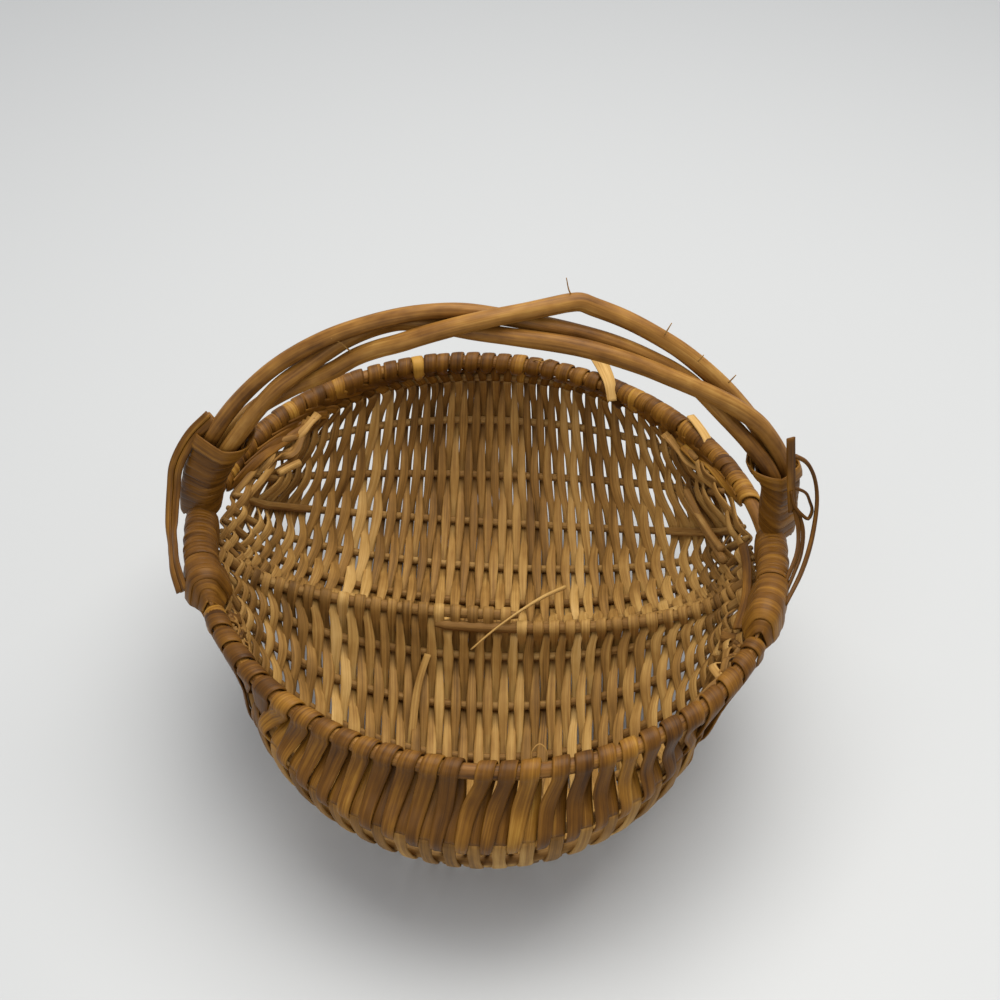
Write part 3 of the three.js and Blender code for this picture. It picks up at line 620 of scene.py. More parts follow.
def side_of(place, row):
    """1 where the row passes outside the rib, and -1 where it passes inside."""
    low, high = EXPOSED_RIB_TURNS if place == EXPOSED_RIB else RIB_TURNS
    woven = place != FRONT_COVERED_RIB and low < math.degrees(row_turns[row]) < high
    return -1 if woven and (place + row) % 2 else 1


def is_inner(row, face):
    """Whether the row's leg lies inside the rim. The next one's lies outside it, and a loop joins the two."""
    return row % 2 == (0 if face > 0 else 1)


def rib_place(place, turn, side):
    """A rib's middle line and radius where a row passes it. The keel has two rods, which lap in the middle."""
    centre = rows_of_ribs[place].at(turn)
    if place != KEEL_PLACE:
        return centre, RIB_RADIUS
    if centre[0] > (KEEL_RIGHT_END if side > 0 else KEEL_LEFT_END):
        centre = lower_keel.at(turn)
    return centre, KEEL_ROD_RADIUS


def row_pitch(place, row):
    """How far apart rows lie on a rib."""
    turns = [turn_on_rib(place, min(max(near, 0), ROW_COUNT - 1)) for near in (row - 1, row, row + 1)]
    spots = [rows_of_ribs[place].at(turn) for turn in turns if turn is not None]
    steps = [float(np.linalg.norm(b - a)) for a, b in zip(spots, spots[1:])]
    return max(steps)


def make_row(row):
    """The controls of a row from the back rim to the front rim, with its outward directions and pitches."""
    rng = random.Random(40 + row)
    crossed = []
    for place in range(len(rows_of_ribs)):
        turn = turn_on_rib(place, row)
        if turn is not None:
            side = side_of(place, row)
            crossed.append((place, turn, side, *rib_place(place, turn, side)))
    ends = [rim_point(rim_angle_of_row(row, face), 0, -ROW_END_DROP) for face in (1, -1)]
    centres = [ends[0]] + [spot[3] for spot in crossed] + [ends[1]]
    data = {"points": [], "outs": [], "pitches": [], "ribs": [spot[3] for spot in crossed]}
    for i, (place, turn, side, centre, reach) in enumerate(crossed):
        along = rows_of_ribs[place].along(turn)
        ahead = unit(centres[i + 2] - centres[i])
        out = unit(np.cross(along, ahead))
        wander = along * rng.uniform(-ROW_WANDER, ROW_WANDER)
        over = LOOP_OVER_ROW if place == FRONT_COVERED_RIB and not is_inner(row, -1) else 0
        for degrees in KEEL_HUG if place == KEEL_PLACE and side < 0 else [0]:
            lean = out * math.cos(math.radians(degrees)) - ahead * math.sin(math.radians(degrees))
            data["points"].append(centre + lean * side * (reach + REED_THICK / 2 + over) + wander)
            data["outs"].append(lean)
            data["pitches"].append(row_pitch(place, row))
    return data


rows = [make_row(row) for row in range(ROW_COUNT)]

# Lengths of one split differ little in colour, and a weaver runs on for a few rows
ROWS_OF_ONE_WEAVER = 3
WEAVER_TINTS = (0.25, 0.75)
ROW_TINTS = (-0.12, 0.12)
tint_random = random.Random(71)
tints = []
for row in range(ROW_COUNT):
    if row % ROWS_OF_ONE_WEAVER == 0:
        weaver_tint = tint_random.uniform(*WEAVER_TINTS)
    tints.append(weaver_tint + tint_random.uniform(*ROW_TINTS))


def is_looped(row, face):
    """Whether a row goes on over the rim. At the ears it ends beside the lashing."""
    low, high = LOOPED_ANGLES[face]
    return low < rim_angle_of_row(row, face) % 360 < high


def tucked_end(before, last, face=-1):
    """Where a row ends under the rim, a little way on from its last crossing."""
    ahead = last + unit(last - before) * TUCK_REACH[face]
    return rim_point(math.degrees(math.atan2(ahead[1], ahead[0])), -EAR_TUCK_IN, -EAR_TUCK_DOWN)


def rim_leg(row, face):
    """A row's way up to the rim, beyond its last rib: a point and its outward direction."""
    first = 0 if face > 0 else -1
    out = rows[row]["outs"][first]
    if not is_looped(row, face):
        return tucked_end(*rows[row]["points"][::-face][-2:], face), out
    middle = lerp(rim_point(rim_angle_of_row(row, face)), rows[row]["ribs"][first], LEG_SHARE)
    return middle + out * (-LEG_OUT if is_inner(row, face) else LEG_OUT), out


def row_end(row, face, count):
    """A row's leg and its last points before it, with their outward directions."""
    leg, out = rim_leg(row, face)
    return [leg] + rows[row]["points"][::face][:count], [out] + rows[row]["outs"][::face][:count]


def pinched(places, widths, middles):
    """Widths along a path: full at its controls, and pinched midway between them."""
    index = np.minimum(places.astype(int), len(middles) - 1)
    pinch = np.sin(np.pi * (places - index)) ** 2
    return at_places(widths, places) * (1 - pinch) + np.asarray(middles)[index] * pinch


def crossing_widths(row):
    rng = random.Random(500 + row)
    pitches = rows[row]["pitches"]
    return [min(WIDEST_REED, CROSSING_WIDTH * pitch * rng.uniform(*WIDTH_SPREAD)) for pitch in pitches]


def rim_wear_and_painted_shade(points):
    """How far a reed goes to its aged colours: towards the rim, which is partly weathering and partly painted shade,
    and on the back wall, which is painted shade.
    """
    near_rim = smooth_step(1 + points[:, 2] / RIM_DARKENING_DEPTH)
    # Painted shade, growing towards the back wall
    at_back = smooth_step((points[:, 1] - BACK_PAINTED_SHADE_FROM) / BACK_PAINTED_SHADE_OVER)
    return np.maximum(near_rim * lerp(1.0, BACK_RIM_DARKENING, at_back), BACK_PAINTED_SHADE * at_back)


def add_weaver(piece, points, outs, widths, step, tint, shift, ends=None, middles=None):
    """A reed of the weave or the rim, with its outward directions and widths at control points. The ends are the
    first and last place that is kept, and middles are widths midway between the points."""
    curve, places = spline(points, step)
    low, high = ends or (0, len(points) - 1)
    kept = (places >= low - NEAR) & (places <= high + NEAR)
    curve, places = curve[kept], places[kept]
    widths = pinched(places, widths, middles) if middles else at_places(widths, places)
    # The weavers' blend to the aged colours holds weathering and painted shade towards the rim and on the back wall
    add_reed(piece, curve, at_places(outs, places), widths, REED_THICK, tint, shift, rim_wear_and_painted_shade(curve))


SECTION_TURNS = (72, 108)
sections = {word: Piece(f"weavers_{word}") for word in ("left", "middle", "right")}
for row, data in enumerate(rows):
    rng = random.Random(900 + row)
    (back_point, back_out), (front_point, front_out) = rim_leg(row, 1), rim_leg(row, -1)
    points = [back_point] + data["points"] + [front_point]
    widths = crossing_widths(row)
    widths = [widths[0]] + widths + [widths[-1]]
    pitches = [data["pitches"][0]] + data["pitches"] + [data["pitches"][-1]]
    middles = [rng.uniform(*PINCH) * (a + b) / 2 for a, b in zip(pitches, pitches[1:])]
    for i, (a, b) in enumerate(zip(points, points[1:])):
        if np.linalg.norm(b - a) < SAME_CROSSING:
            middles[i] = (widths[i] + widths[i + 1]) / 2
    outs = [back_out] + data["outs"] + [front_out]
    low = int(is_looped(row, 1))
    high = len(points) - (1 if not is_looped(row, -1) else 2 if is_inner(row, -1) else 3)
    degrees = math.degrees(row_turns[row])
    word = "left" if degrees < SECTION_TURNS[0] else "right" if degrees > SECTION_TURNS[1] else "middle"
    shift = 7.3 * row
    add_weaver(sections[word], points, outs, widths, WEAVER_STEP, tints[row], shift, (low, high), middles)


def add_ear_row(piece, end_turn, near_turn, share, parity):
    """A row beyond the first or last one, over the thin tips of the ribs."""
    centres, alongs, points, outs = [], [], [], []
    for line in rows_of_ribs:
        tip = rib_tip(line.at(end_turn))
        centres.append(lerp(tip, line.at(near_turn), share))
        alongs.append(unit(line.at(near_turn) - tip) * (1 if end_turn == 0 else -1))
    for i in range(1, len(centres) - 1):
        out = unit(np.cross(alongs[i], centres[i + 1] - centres[i - 1]))
        side = 1 if (i + parity) % 2 == 0 else -1
        points.append(centres[i] + out * side * (EAR_RIB_SHARE * RIB_RADIUS + EAR_ROW_THICK / 2))
        outs.append(out)
    points = [tucked_end(points[1], points[0])] + points + [tucked_end(points[-2], points[-1])]
    curve, places = spline(points, step=1.6)
    facing = at_places([outs[0]] + outs + [outs[-1]], places)
    tint, shift = 0.3 + 0.5 * share, 31 * share + parity
    add_reed(piece, curve, facing, EAR_ROW_WIDTH, EAR_ROW_THICK, tint, shift, reed_wear_and_shade=0.6)


for word, end_turn, near_turn in (("left", 0, row_turns[0]), ("right", math.pi, row_turns[-1])):
    for i, share in enumerate(EAR_ROW_SHARES):
        add_ear_row(sections[word], end_turn, near_turn, share, i + (1 if word == "left" else 0))
for word, piece in sections.items():
    piece.build("woven_reed", f"woven_wall_{word}")

# Loops over the rim, which join one row to the next
QUARTERS = ("back_right", "back_left", "front_left", "front_right")
loop_pieces = [Piece(f"rim_loops_{word}") for word in QUARTERS]


def pushed(angle):
    """Loops crowd together beside the stretches where the rim shows bare."""
    for bare, half_length in BARE_RIM.items():
        away = math.radians(angle - bare) * RIM_RADIUS
        angle += math.degrees(math.copysign(half_length, away) * math.exp(-abs(away) / PUSH_REACH) / RIM_RADIUS)
    return angle


def over_rim(angle_in, angle_out, lift):
    """Points over the rim rod from inside to outside."""
    points, outs = [], []
    for i, section in enumerate(LOOP_SECTIONS):
        angle = lerp(angle_in, angle_out, smooth_step(i / (len(LOOP_SECTIONS) - 1)))
        turn = math.radians(section)
        radius = RIM_ROD_RADIUS + REED_THICK / 2 + lift
        points.append(rim_point(angle, radius * math.cos(turn), radius * math.sin(turn)))
        outs.append(rim_out(angle) * math.cos(turn) + UP * math.sin(turn))
    return points, outs


def add_loop(row_in, row_out, face):
    """A loop from the row whose leg lies inside the rim to the one whose leg lies outside it."""
    first = 0 if face > 0 else -1
    rng = random.Random(1300 + 2 * row_in + face)
    angles = [rim_angle_of_row(row, face) for row in (row_in, row_out)]
    middle_angle = pushed(sum(angles) / 2)
    half = (angles[1] - angles[0]) / 2 * LOOP_SLANT
    points, outs = over_rim(middle_angle - half, middle_angle + half, rng.uniform(*LOOP_LIFT))
    inner, inner_outs = row_end(row_in, face, 2)
    outer, outer_outs = row_end(row_out, face, 2 if face > 0 else 3)
    points = inner[::-1] + points + outer
    outs = [-out for out in inner_outs[::-1]] + outs + outer_outs
    wide = rng.uniform(*LOOP_WIDTHS[face])
    if face < 0:
        spacing = 2 * abs(math.radians(angles[1] - angles[0])) * RIM_RADIUS
        wide *= min(WIDEST_LOOP, max(1.0, spacing / FRONT_LOOP_SPACING))
    width_in, width_out = (crossing_widths(row)[first] for row in (row_in, row_out))
    legs = [min(wide, share * rows[row_in]["pitches"][first]) for share in (LEG_WIDTH, OUTER_LEG_WIDTH)]
    widths = [width_in, width_in, legs[0]] + [wide] * len(LOOP_SECTIONS) + [legs[1]]
    widths += [width_out, width_out] if face > 0 else [TAPERED_LEG * wide, LOOP_END_WIDTH, LOOP_END_WIDTH]
    tint, shift = lerp(tints[row_out], rng.random(), LOOP_TINT_SPREAD), 5.1 * row_in
    piece = loop_pieces[int(middle_angle % 360 // 90)]
    add_weaver(piece, points, outs, widths, LOOP_STEP, tint, shift, (1, len(points) - 2))
    return middle_angle


def add_filler(angle, seed):
    """A short turn of reed that covers the rim between two loops that lie wide apart."""
    rng = random.Random(seed)
    points, outs = over_rim(angle, angle, lift=0.2)
    out = rim_out(angle)
    inner, outer = (rng.uniform(*FILLER_LEGS) for _ in range(2))
    tip_in, bend_in, bend_out, tip_out = FILLER_OUTS
    points = [rim_point(angle, tip_in, -inner), rim_point(angle, bend_in, -FILLER_BEND * inner)] + points + [
        rim_point(angle, bend_out, -FILLER_BEND * outer), rim_point(angle, tip_out, -outer)]
    outs = [-out, -out] + outs + [out, out]
    wide = rng.uniform(*LOOP_WIDTHS[1])
    ends = [FILLER_TIP_WIDTH, FILLER_BEND_WIDTH * wide]
    widths = ends + [wide] * len(LOOP_SECTIONS) + ends[::-1]
    piece = loop_pieces[int(angle % 360 // 90)]
    add_weaver(piece, points, outs, widths, LOOP_STEP, rng.random(), shift=2.7 * seed)


for face in (1, -1):
    loop_angles = []
    for row in range(ROW_COUNT):
        other = row + face
        joined = is_inner(row, face) and 0 <= other < ROW_COUNT
        if joined and is_looped(row, face) and is_looped(other, face):
            loop_angles.append(add_loop(row, other, face))
    for i, (here, there) in enumerate(zip(loop_angles, loop_angles[1:])):
        gap = abs(math.radians(there - here)) * RIM_RADIUS
        if face > 0 and gap > FILLED_GAP:
            add_filler((here + there) / 2, seed=60 + i)

for i, angle in enumerate(FRONT_FILLERS):
    add_filler(angle, seed=80 + i)

for word, piece in zip(QUARTERS, loop_pieces):
    piece.build("wrap_reed", f"rim_wrap_{word}")

# Handle rods
half_span = RIM_RADIUS - HANDLE_INSET
forward_height = RIM_ROD_RADIUS + FORWARD_CLEARANCE + FORWARD_ROD_RADIUS


def handle_frame(share):
    """The handle's middle line at a share of its length, with its outward direction."""
    turn = math.pi * share
    x = -half_span * math.cos(turn)
    y = lerp(HANDLE_LEFT_Y, HANDLE_RIGHT_Y, share)
    z = HANDLE_HEIGHT * math.sin(turn) * (1 + HANDLE_LEAN * x / half_span)
    out = unit(np.array([-HANDLE_HEIGHT * math.cos(turn), 0, half_span * math.sin(turn)]))
    return np.array([x, y, z]), out


def hermite(path, share):
    """The rod's offsets at a share, by a cubic through the path's places."""
    path = np.array(path, float)
    shares, offsets = path[:, 0], path[:, 1:]
    slopes = np.gradient(offsets, shares, axis=0)
    slopes[1:-1] = (offsets[2:] - offsets[:-2]) / (shares[2:] - shares[:-2])[:, None]
    i = int(np.clip(np.searchsorted(shares, share) - 1, 0, len(shares) - 2))
    span = shares[i + 1] - shares[i]
    t = (share - shares[i]) / span
    return (
        (2 * t ** 3 - 3 * t ** 2 + 1) * offsets[i] + (t ** 3 - 2 * t ** 2 + t) * span * slopes[i]
        + (-2 * t ** 3 + 3 * t ** 2) * offsets[i + 1] + (t ** 3 - t ** 2) * span * slopes[i + 1]
    )


def rod_point(rod, share):
    middle, out = handle_frame(share)
    outward, behind = hermite(rod["path"], share)
    return middle + out * outward + BACK * behind


def turn_at_height(height):
    return math.asin(height / HANDLE_HEIGHT) / math.pi


# At each ear: the rod that bends forward, and three windings. Each has its ends in Y or its length, its turns, width
# and extra radius, and then come the reeds beside the foot, or the lashing's slope
EARS = {
    "left": {
        "side": -1, "rod": 1, "rod_tip": -38.5, "tint": 0.28,
        "column": ((3.0, -20.6), 14, 2.0, 2.2),
        "foot": ((-22.4, -38.0), 6, 4.2, 2.3, ((-5.5, 1.8), (4.5, 1.8))),
        "lashing": (36.0, 9, 4.4, 0.9, -4.4),
    },
    "right": {
        "side": 1, "rod": 0, "rod_tip": -52.0, "tint": 0.45,
        "column": ((-7.0, -29.5), 13, 2.1, 1.8),
        "foot": ((-31.0, -51.0), 7, 4.4, 1.9, ((-4.0, 2.2), (3.0, 2.2))),
        "lashing": (24.0, 8, 3.4, 0.9, -4.6),
    },
}
TIP_RADIUS = 0.5
TIP_LENGTH = 9.0
TIP_TOP = 9.0


def rod_on_rim(ear, y, radius):
    """The height and radius of the rod along the rim, whose end is cut to a taper, and how full it is."""
    full = float(smooth_step((y - ear["rod_tip"]) / TIP_LENGTH))
    thin = lerp(TIP_RADIUS, radius, full)
    return lerp(RIM_ROD_RADIUS + thin, forward_height, full), thin, full


def forward_bend(ear, rod, share):
    """A rod's bend from upright to lying along the rim, and on to its tip."""
    top = rod_point(rod, share)
    points = []
    for i in range(1, BEND_STATIONS + 1):
        turn = math.pi / 2 * i / BEND_STATIONS
        y = top[1] - ROD_BEND * (1 - math.cos(turn))
        x = lerp(top[0], rim_point(ear_angle(ear["side"], y))[0], i / BEND_STATIONS)
        points.append(np.array([x, y, forward_height + ROD_BEND * (1 - math.sin(turn))]))
    last = points[-1][1]
    for i in range(1, BEND_STATIONS + 1):
        y = lerp(last, ear["rod_tip"], i / BEND_STATIONS)
        height = rod_on_rim(ear, y, rod["radii"][0])[0]
        points.append(rim_point(ear_angle(ear["side"], y), 0, height))
    return points


for index, rod in enumerate(HANDLE_RODS):
    end_share = turn_at_height(RIM_ROD_RADIUS + END_CLEARANCE)
    bend_share = turn_at_height(forward_height + ROD_BEND)
    bent_left, bent_right = (ear["rod"] == index for ear in EARS.values())
    start = bend_share if bent_left else end_share
    stop = 1 - (bend_share if bent_right else end_share)
    points = [rod_point(rod, share) for share in np.linspace(start, stop, HANDLE_STATIONS)]
    if bent_left:
        points = forward_bend(EARS["left"], rod, start)[::-1] + points
    if bent_right:
        points = points + forward_bend(EARS["right"], rod, stop)
    curve, places = spline(points, step=1.6)
    radii = lerp(*rod["radii"], places / places[-1])
    for ear in EARS.values():
        if ear["rod"] == index:
            radii = [
                rod_on_rim(ear, y, radius)[1] if x * ear["side"] > 0 and z < TIP_TOP else radius
                for (x, y, z), radius in zip(curve, radii)
            ]
    piece = Piece(f"handle_rod_{index + 1}_wood")
    add_rod(piece, curve, radii, sides=20, tint=0.42 + 0.1 * index, seed=2.2 * index + 1, wobble=0.025)
    piece.build("rod_wood", f"handle_rod_{index + 1}")


# Reed wound round rods. The section is the tight outline round circles
WINDING_STEPS = 28
WINDING_SLACK = (0.05, 0.5)
LASHING_FOOT = 7.0

# The band above each lashing, which is wider than it
BAND_LENGTH = 3.0
BAND_TURNS = 1.6
BAND_WIDER = 1.4
BAND_EXTRA = 0.7

# How the tints differ from the ear's own
FOOT_TINT, LASHING_TINT, BAND_TINT = 0.05, -0.05, 0.15


def wind(piece, turns, width, core, ends, tint, seed, thick=0.85, tilt=0.0):
    """An unbroken winding that lies flat on its core, from end to end. Its turns tilt by a share of its length."""
    rng = random.Random(seed)
    points, outs = [], []
    count = int(turns * WINDING_STEPS)
    slacks = [rng.uniform(*WINDING_SLACK) for _ in range(int(turns) + 3)]
    for i in range(count + 1):
        angle = 2 * math.pi * i / WINDING_STEPS
        turn = i / WINDING_STEPS
        circles, out, up = core(lerp(*ends, i / count + tilt * math.cos(angle)))
        away = out * math.cos(angle) + up * math.sin(angle)
        centre, radius = max(circles, key=lambda circle: np.dot(circle[0], away) + circle[1])
        slack = float(np.interp(turn, range(len(slacks)), slacks))
        points.append(centre + away * (radius + thick / 2 + slack))
        outs.append(away)
    points, outs = np.array(points), np.array(outs)
    smooth = points.copy()
    smooth[1:-1] = (points[:-2] + 2 * points[1:-1] + points[2:]) / 4
    if count >= 2 * WINDING_STEPS:
        places = np.arange(count + 1)
        ahead = np.where(places + WINDING_STEPS <= count, places + WINDING_STEPS, places)
        behind = np.where(places >= WINDING_STEPS, places - WINDING_STEPS, places)
        outs = square_to(outs, unit(smooth[ahead] - smooth[behind]))
    add_reed(piece, smooth, outs, width, thick, tint, seed, reed_wear_and_shade=0.6)


def rim_core(ear, extra, beside=()):
    """The rim, the rod that lies on it, and what lies beside them: places and radii at a Y."""
    radius = HANDLE_RODS[ear["rod"]]["radii"][0 if ear["side"] < 0 else 1]

    def core(y):
        angle = ear_angle(ear["side"], y)
        height, thin, full = rod_on_rim(ear, y, radius)
        circles = [
            (rim_point(angle), RIM_ROD_RADIUS + extra * full),
            (rim_point(angle, 0, height), thin + extra * full),
        ]
        circles += [(rim_point(angle, out * full), wide) for out, wide in beside]
        return circles, rim_out(angle), UP

    return core


def bundle_core(extra):
    """The three handle rods: their places and radii at a share of the handle."""
    def core(share):
        circles = [(rod_point(rod, share), lerp(*rod["radii"], share) + extra) for rod in HANDLE_RODS]
        return circles, handle_frame(share)[1], BACK

    return core


handle_arc = math.pi * (half_span + HANDLE_HEIGHT) / 2
for word, ear in EARS.items():
    tint = ear["tint"]
    y, turns, width, extra = ear["column"]
    piece = Piece(f"ear_column_{word}_reed")
    wind(piece, turns, width, rim_core(ear, extra), y, tint, seed=3, thick=0.7)
    piece.build("wrap_reed", f"ear_column_wrap_{word}")
    y, turns, width, extra, beside = ear["foot"]
    piece = Piece(f"ear_foot_{word}_reed")
    wind(piece, turns, width, rim_core(ear, extra, beside), y, tint + FOOT_TINT, seed=9)
    piece.build("wrap_reed", f"ear_foot_wrap_{word}")
    length, turns, width, extra, slope = ear["lashing"]
    first = turn_at_height(LASHING_FOOT)
    last = first + length / handle_arc
    band = last + BAND_LENGTH / handle_arc
    if word == "right":
        first, last, band = 1 - first, 1 - last, 1 - band
    piece = Piece(f"handle_lashing_{word}_reed")
    core, ends = bundle_core(extra), (first, last)
    wind(piece, turns, width, core, ends, tint + LASHING_TINT, seed=14, tilt=slope / length)
    core, ends = bundle_core(extra + BAND_EXTRA), (last, band)
    wind(piece, BAND_TURNS, width + BAND_WIDER, core, ends, tint + BAND_TINT, seed=17, tilt=slope / BAND_LENGTH)
    piece.build("wrap_reed", f"handle_lashing_{word}")

# Loose reeds at the ears. Places are outward from the rim's radius at the ear, back and up
STRAP_PLACES = [
    (-9.6, 9, 47), (-1.9, 8, 39), (4.4, 6, 28), (6.3, 4, 19), (6.8, -5, 10), (5.2, -14, 8), (3.4, -22, 6.5),
    (0.5, -29, 2),
]
STRAP_STEP = 1.5
LOOSE_THICK = 0.9
UPRIGHT_PLACES = [(-1.9, -11.5, 54.4), (0.6, -11.8, 35.6), (2.6, -12.2, 23)]
# Thin strands, each with its radius and its places
STRANDS = [
    (0.75, [
        (1.1, -9, 44.7), (5, -9, 42.2), (8, -9.5, 37.4), (10.1, -12, 28.5), (9.2, -18, 18.5), (4.9, -28, 9.6),
        (-1.2, -38, 4.6),
    ]),
    (0.6, [
        (0.9, -12.5, 32.5), (2.4, -13.2, 27), (5.3, -13.5, 23.1), (8, -13.4, 20.8), (9, -12.8, 24), (7.9, -12, 27.2),
        (6, -11.6, 31), (2, -11.4, 33),
    ]),
    (0.7, [(4.8, -12, 22), (6.4, -15, 17), (5.6, -21, 12.3), (2.4, -28, 8.6), (-1.4, -35, 5)]),
    (0.7, [(3.2, -12.4, 24), (4.6, -16, 18), (3.9, -22, 14), (0.6, -29, 9.6), (-2.2, -34, 6.2)]),
]
INNER_STRIP_Y = [-2, -14, -30, -46]
INNER_STRIP_INSET = 7.9
INNER_STRIP_DROP = 1.6
FINE_STEP = 1.2
FINE_SIDES = 8


def beside_ear(side, places):
    return np.array([(side * (RIM_RADIUS + out), y, z) for out, y, z in places])


def add_twig(piece, points, step, radii, sides, tint, seed, **settings):
    """A rod along a smooth path, from one radius to the other."""
    curve = spline(points, step)[0]
    add_rod(piece, curve, np.linspace(*radii, len(curve)), sides, tint, seed, **settings)


def build_strands(name, node, points, facing, strands):
    """Reeds side by side along one path. Each has its offset across, its lift and its width."""
    curve = spline(points, STRAP_STEP)[0]
    along = tangents(curve)
    out = square_to(facing, along)
    across = np.cross(along, out)
    piece = Piece(name)
    for i, (offset, lift, width) in enumerate(strands):
        tint, shift = 0.35 + 0.15 * i, 3.3 * i + 1
        add_reed(piece, curve + across * offset + out * lift, facing, width, LOOSE_THICK, tint, shift)
    piece.build("wrap_reed", node)


build_strands(
    "outer_strap_reed", "outer_strap_left", beside_ear(-1, STRAP_PLACES), facing=(-0.4, -1.0, 0.3),
    strands=[(-1.4, 0.0, 2.7), (1.3, 0.2, 2.5), (0.1, -0.9, 3.4)],
)
build_strands(
    "upright_strip_reed", "upright_strip_end_right", beside_ear(1, UPRIGHT_PLACES), facing=(0.2, -1.0, 0.3),
    strands=[(0, 0, 3.1)],
)
inner_points = np.array([rim_point(ear_angle(1, y), -INNER_STRIP_INSET, -INNER_STRIP_DROP) for y in INNER_STRIP_Y])
build_strands(
    "inner_strip_reed", "inner_strip_right", inner_points, facing=(-0.7, -0.5, 1.0), strands=[(0, 0, 3.6)],
)

piece = Piece("loose_strand_reed")
for radius, places in STRANDS:
    points = beside_ear(1, places)
    add_twig(piece, points, FINE_STEP, (radius, radius), FINE_SIDES, 0.3, radius * 9, wobble=0.12, weathering=1.0)
piece.build("wrap_reed", "loose_strand_right")

# Spare rib ends and cut pieces inside the weave. Places are the rib's number from the back, degrees and lift
SPARE_LIFT = 4.6
SPARE_RADII = (1.5, 1.5)
SPARE_RIBS = {
    "loose_rib_right_upper": [(2.2, 160), (2.7, 165), (3.5, 170), (4.4, 175)],
    "loose_rib_right_lower": [(2.0, 161.5), (2.9, 165.5), (4.0, 170), (5.4, 175)],
}
CUT_RIB = [(-77.5, 39.4, -4.5), (-74, 42.4, -4.2), (-70.2, 45.8, -4.5)]
CUT_WEAVER = [
    (9.05, 76.6, 3.0), (9.4, 75.2, 3.2), (9.8, 74, 2.9), (10.2, 73.3, 2.2), (10.6, 73, 0.2), (11, 72.9, -2.8),
]


def inside_wall(place, degrees, lift=SPARE_LIFT):
    """A place inside the weave, part of the way from one rib to the next."""
    turn = math.radians(degrees)
    first = int(place)
    here, there = rows_of_ribs[first].at(turn), rows_of_ribs[first + 1].at(turn)
    out = unit(np.cross(rows_of_ribs[first].along(turn), there - here))
    return lerp(here, there, place - first) - out * lift


for i, (name, places) in enumerate(SPARE_RIBS.items()):
    piece = Piece(name + "_reed")
    points = [inside_wall(*place) for place in places]
    add_twig(piece, points, STRAP_STEP, SPARE_RADII, RIB_SIDES, tint=0.45, seed=3.1 * i)
    piece.build("rib_reed", name)

# Small loose things: cut ends, a straw, fibres and splinters
STRAW = [(-5.2, -14.2, -43.2), (3.5, -9.4, -37.6), (12.8, -4, -33.6), (21.6, 3, -33.2), (29.8, 9.6, -34.6)]
FLARED_END = [(49.6, 79.6, -1.5), (48.6, 84.5, 3.9), (46.6, 91.5, 5.6), (44.4, 97.5, 7.2)]
CUT_END = [(78.2, 62.1, 5.1), (80.3, 57.4, 4.9), (83.4, 50.4, 3.4), (84.6, 46.8, 0.6)]
FIBRES = [
    [(17.5, 101, 1.5), (20, 98.5, 4.6), (22.3, 96.9, 5), (25.2, 99.2, 4.4), (27.6, 101.6, 2)],
    [(14.9, -102.8, 1.5), (15.2, -100, 5.4), (17.4, -98.4, 6.6), (19.4, -99.4, 5.2), (19.6, -102.4, 1.5)],
    [(29.2, 7, 95), (27.2, 7, 98.6), (26.1, 6.6, 103.8)],
    [(57.8, 3.6, 84.6), (59.6, 3.2, 89.2)],
    [(79.2, -0.4, 68.4), (81.2, -0.8, 71.8)],
    [(-42.3, 5, 76.6), (-45.9, 4.4, 81), (-48.4, 4.2, 82.6)],
    [(68.8, 0.4, 76.4), (70.2, -0.4, 79.4)],
]
piece = Piece("loose_straw")
add_twig(piece, STRAW, STRAP_STEP, (0.35, 0.75), FINE_SIDES, tint=0.9, seed=2, wobble=0.1, weathering=0.0)
piece.build("woven_reed")
piece = Piece("loose_cut_ends")
for points, facing, widths in ((FLARED_END, (0.1, -0.6, 1.0), (3.8, 6.4)), (CUT_END, (0.3, -0.5, 1.0), (3.4, 3.8))):
    curve = spline(points, FINE_STEP)[0]
    widths = np.linspace(*widths, len(curve))
    add_reed(piece, curve, facing, widths, LOOSE_THICK, tint=0.85, shift=widths[0], reed_wear_and_shade=0.1)
add_twig(piece, CUT_RIB, FINE_STEP, SPARE_RADII, RIB_SIDES, tint=0.7, seed=1.7, weathering=0.3)
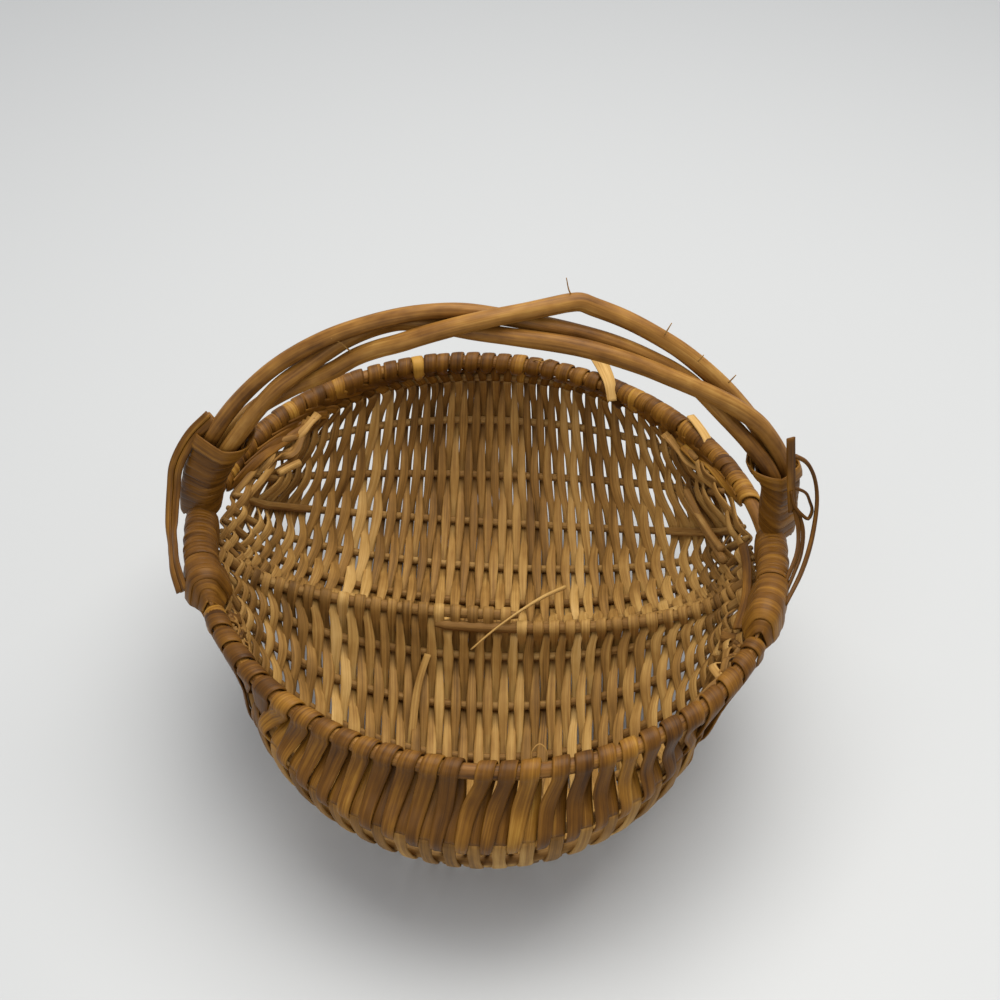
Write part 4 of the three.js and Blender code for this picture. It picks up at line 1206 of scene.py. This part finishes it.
curve = spline([inside_wall(*place) for place in CUT_WEAVER], FINE_STEP)[0]
add_reed(piece, curve, (0.1, 0.5, 0.85), widths=3.0, thick=LOOSE_THICK, tint=0.62, shift=4.1, reed_wear_and_shade=0.0)
piece.build("woven_reed")
piece = Piece("loose_fibres")
for i, points in enumerate(FIBRES):
    add_twig(piece, points, step=0.8, radii=(0.3, 0.16), sides=6, tint=0.6, seed=i, wobble=0.1)
piece.build("woven_reed")


# Stage: a pale table, plain light and the camera
LIGHT_TARGET = Vector((0, 0, 0.05))
table_material, node = new_material("pale_table")
shader = node("ShaderNodeBsdfPrincipled", {"Base Color": (0.48, 0.495, 0.51, 1), "Roughness": 0.45})
node("ShaderNodeOutputMaterial", {"Surface": shader.outputs[0]})
floor_mesh = bpy.data.meshes.new("floor")
floor_mesh.from_pydata([(-3, -2, 0), (3, -2, 0), (3, 3, 0), (-3, 3, 0)], [], [(0, 1, 2, 3)])
floor = add_object("floor", floor_mesh)
floor_mesh.materials.append(table_material)

world = bpy.data.worlds.new("studio")
bpy.context.scene.world = world
world.use_nodes = True
background = world.node_tree.nodes["Background"]
background.inputs["Color"].default_value = (0.98, 0.985, 1.0, 1)
background.inputs["Strength"].default_value = 0.6

for name, place, size, power, colour in (
    ("top_light", (0.1, 0.14, 0.9), 0.9, 11, (1.0, 0.965, 0.9)),
    ("front_light", (-0.4, -0.9, 0.6), 0.5, 2.0, (1.0, 0.98, 0.94)),
):
    light = bpy.data.lights.new(name, "AREA")
    light.size = size
    light.energy = power
    light.color = colour
    lamp = add_object(name, light)
    lamp.location = place
    lamp.rotation_euler = (LIGHT_TARGET - Vector(place)).to_track_quat("-Z", "Y").to_euler()

camera_data = bpy.data.cameras.new("camera")
camera_data.lens = 54
camera_data.sensor_width = 36
camera = add_object("camera", camera_data)
camera.location = Vector(np.array(CAMERA_PLACE) * MM + RIM_MIDDLE)
camera.rotation_euler = (math.radians(90 - CAMERA_PITCH_DOWN), 0, 0)
bpy.context.scene.camera = camera
bpy.context.scene.view_settings.view_transform = "Standard"
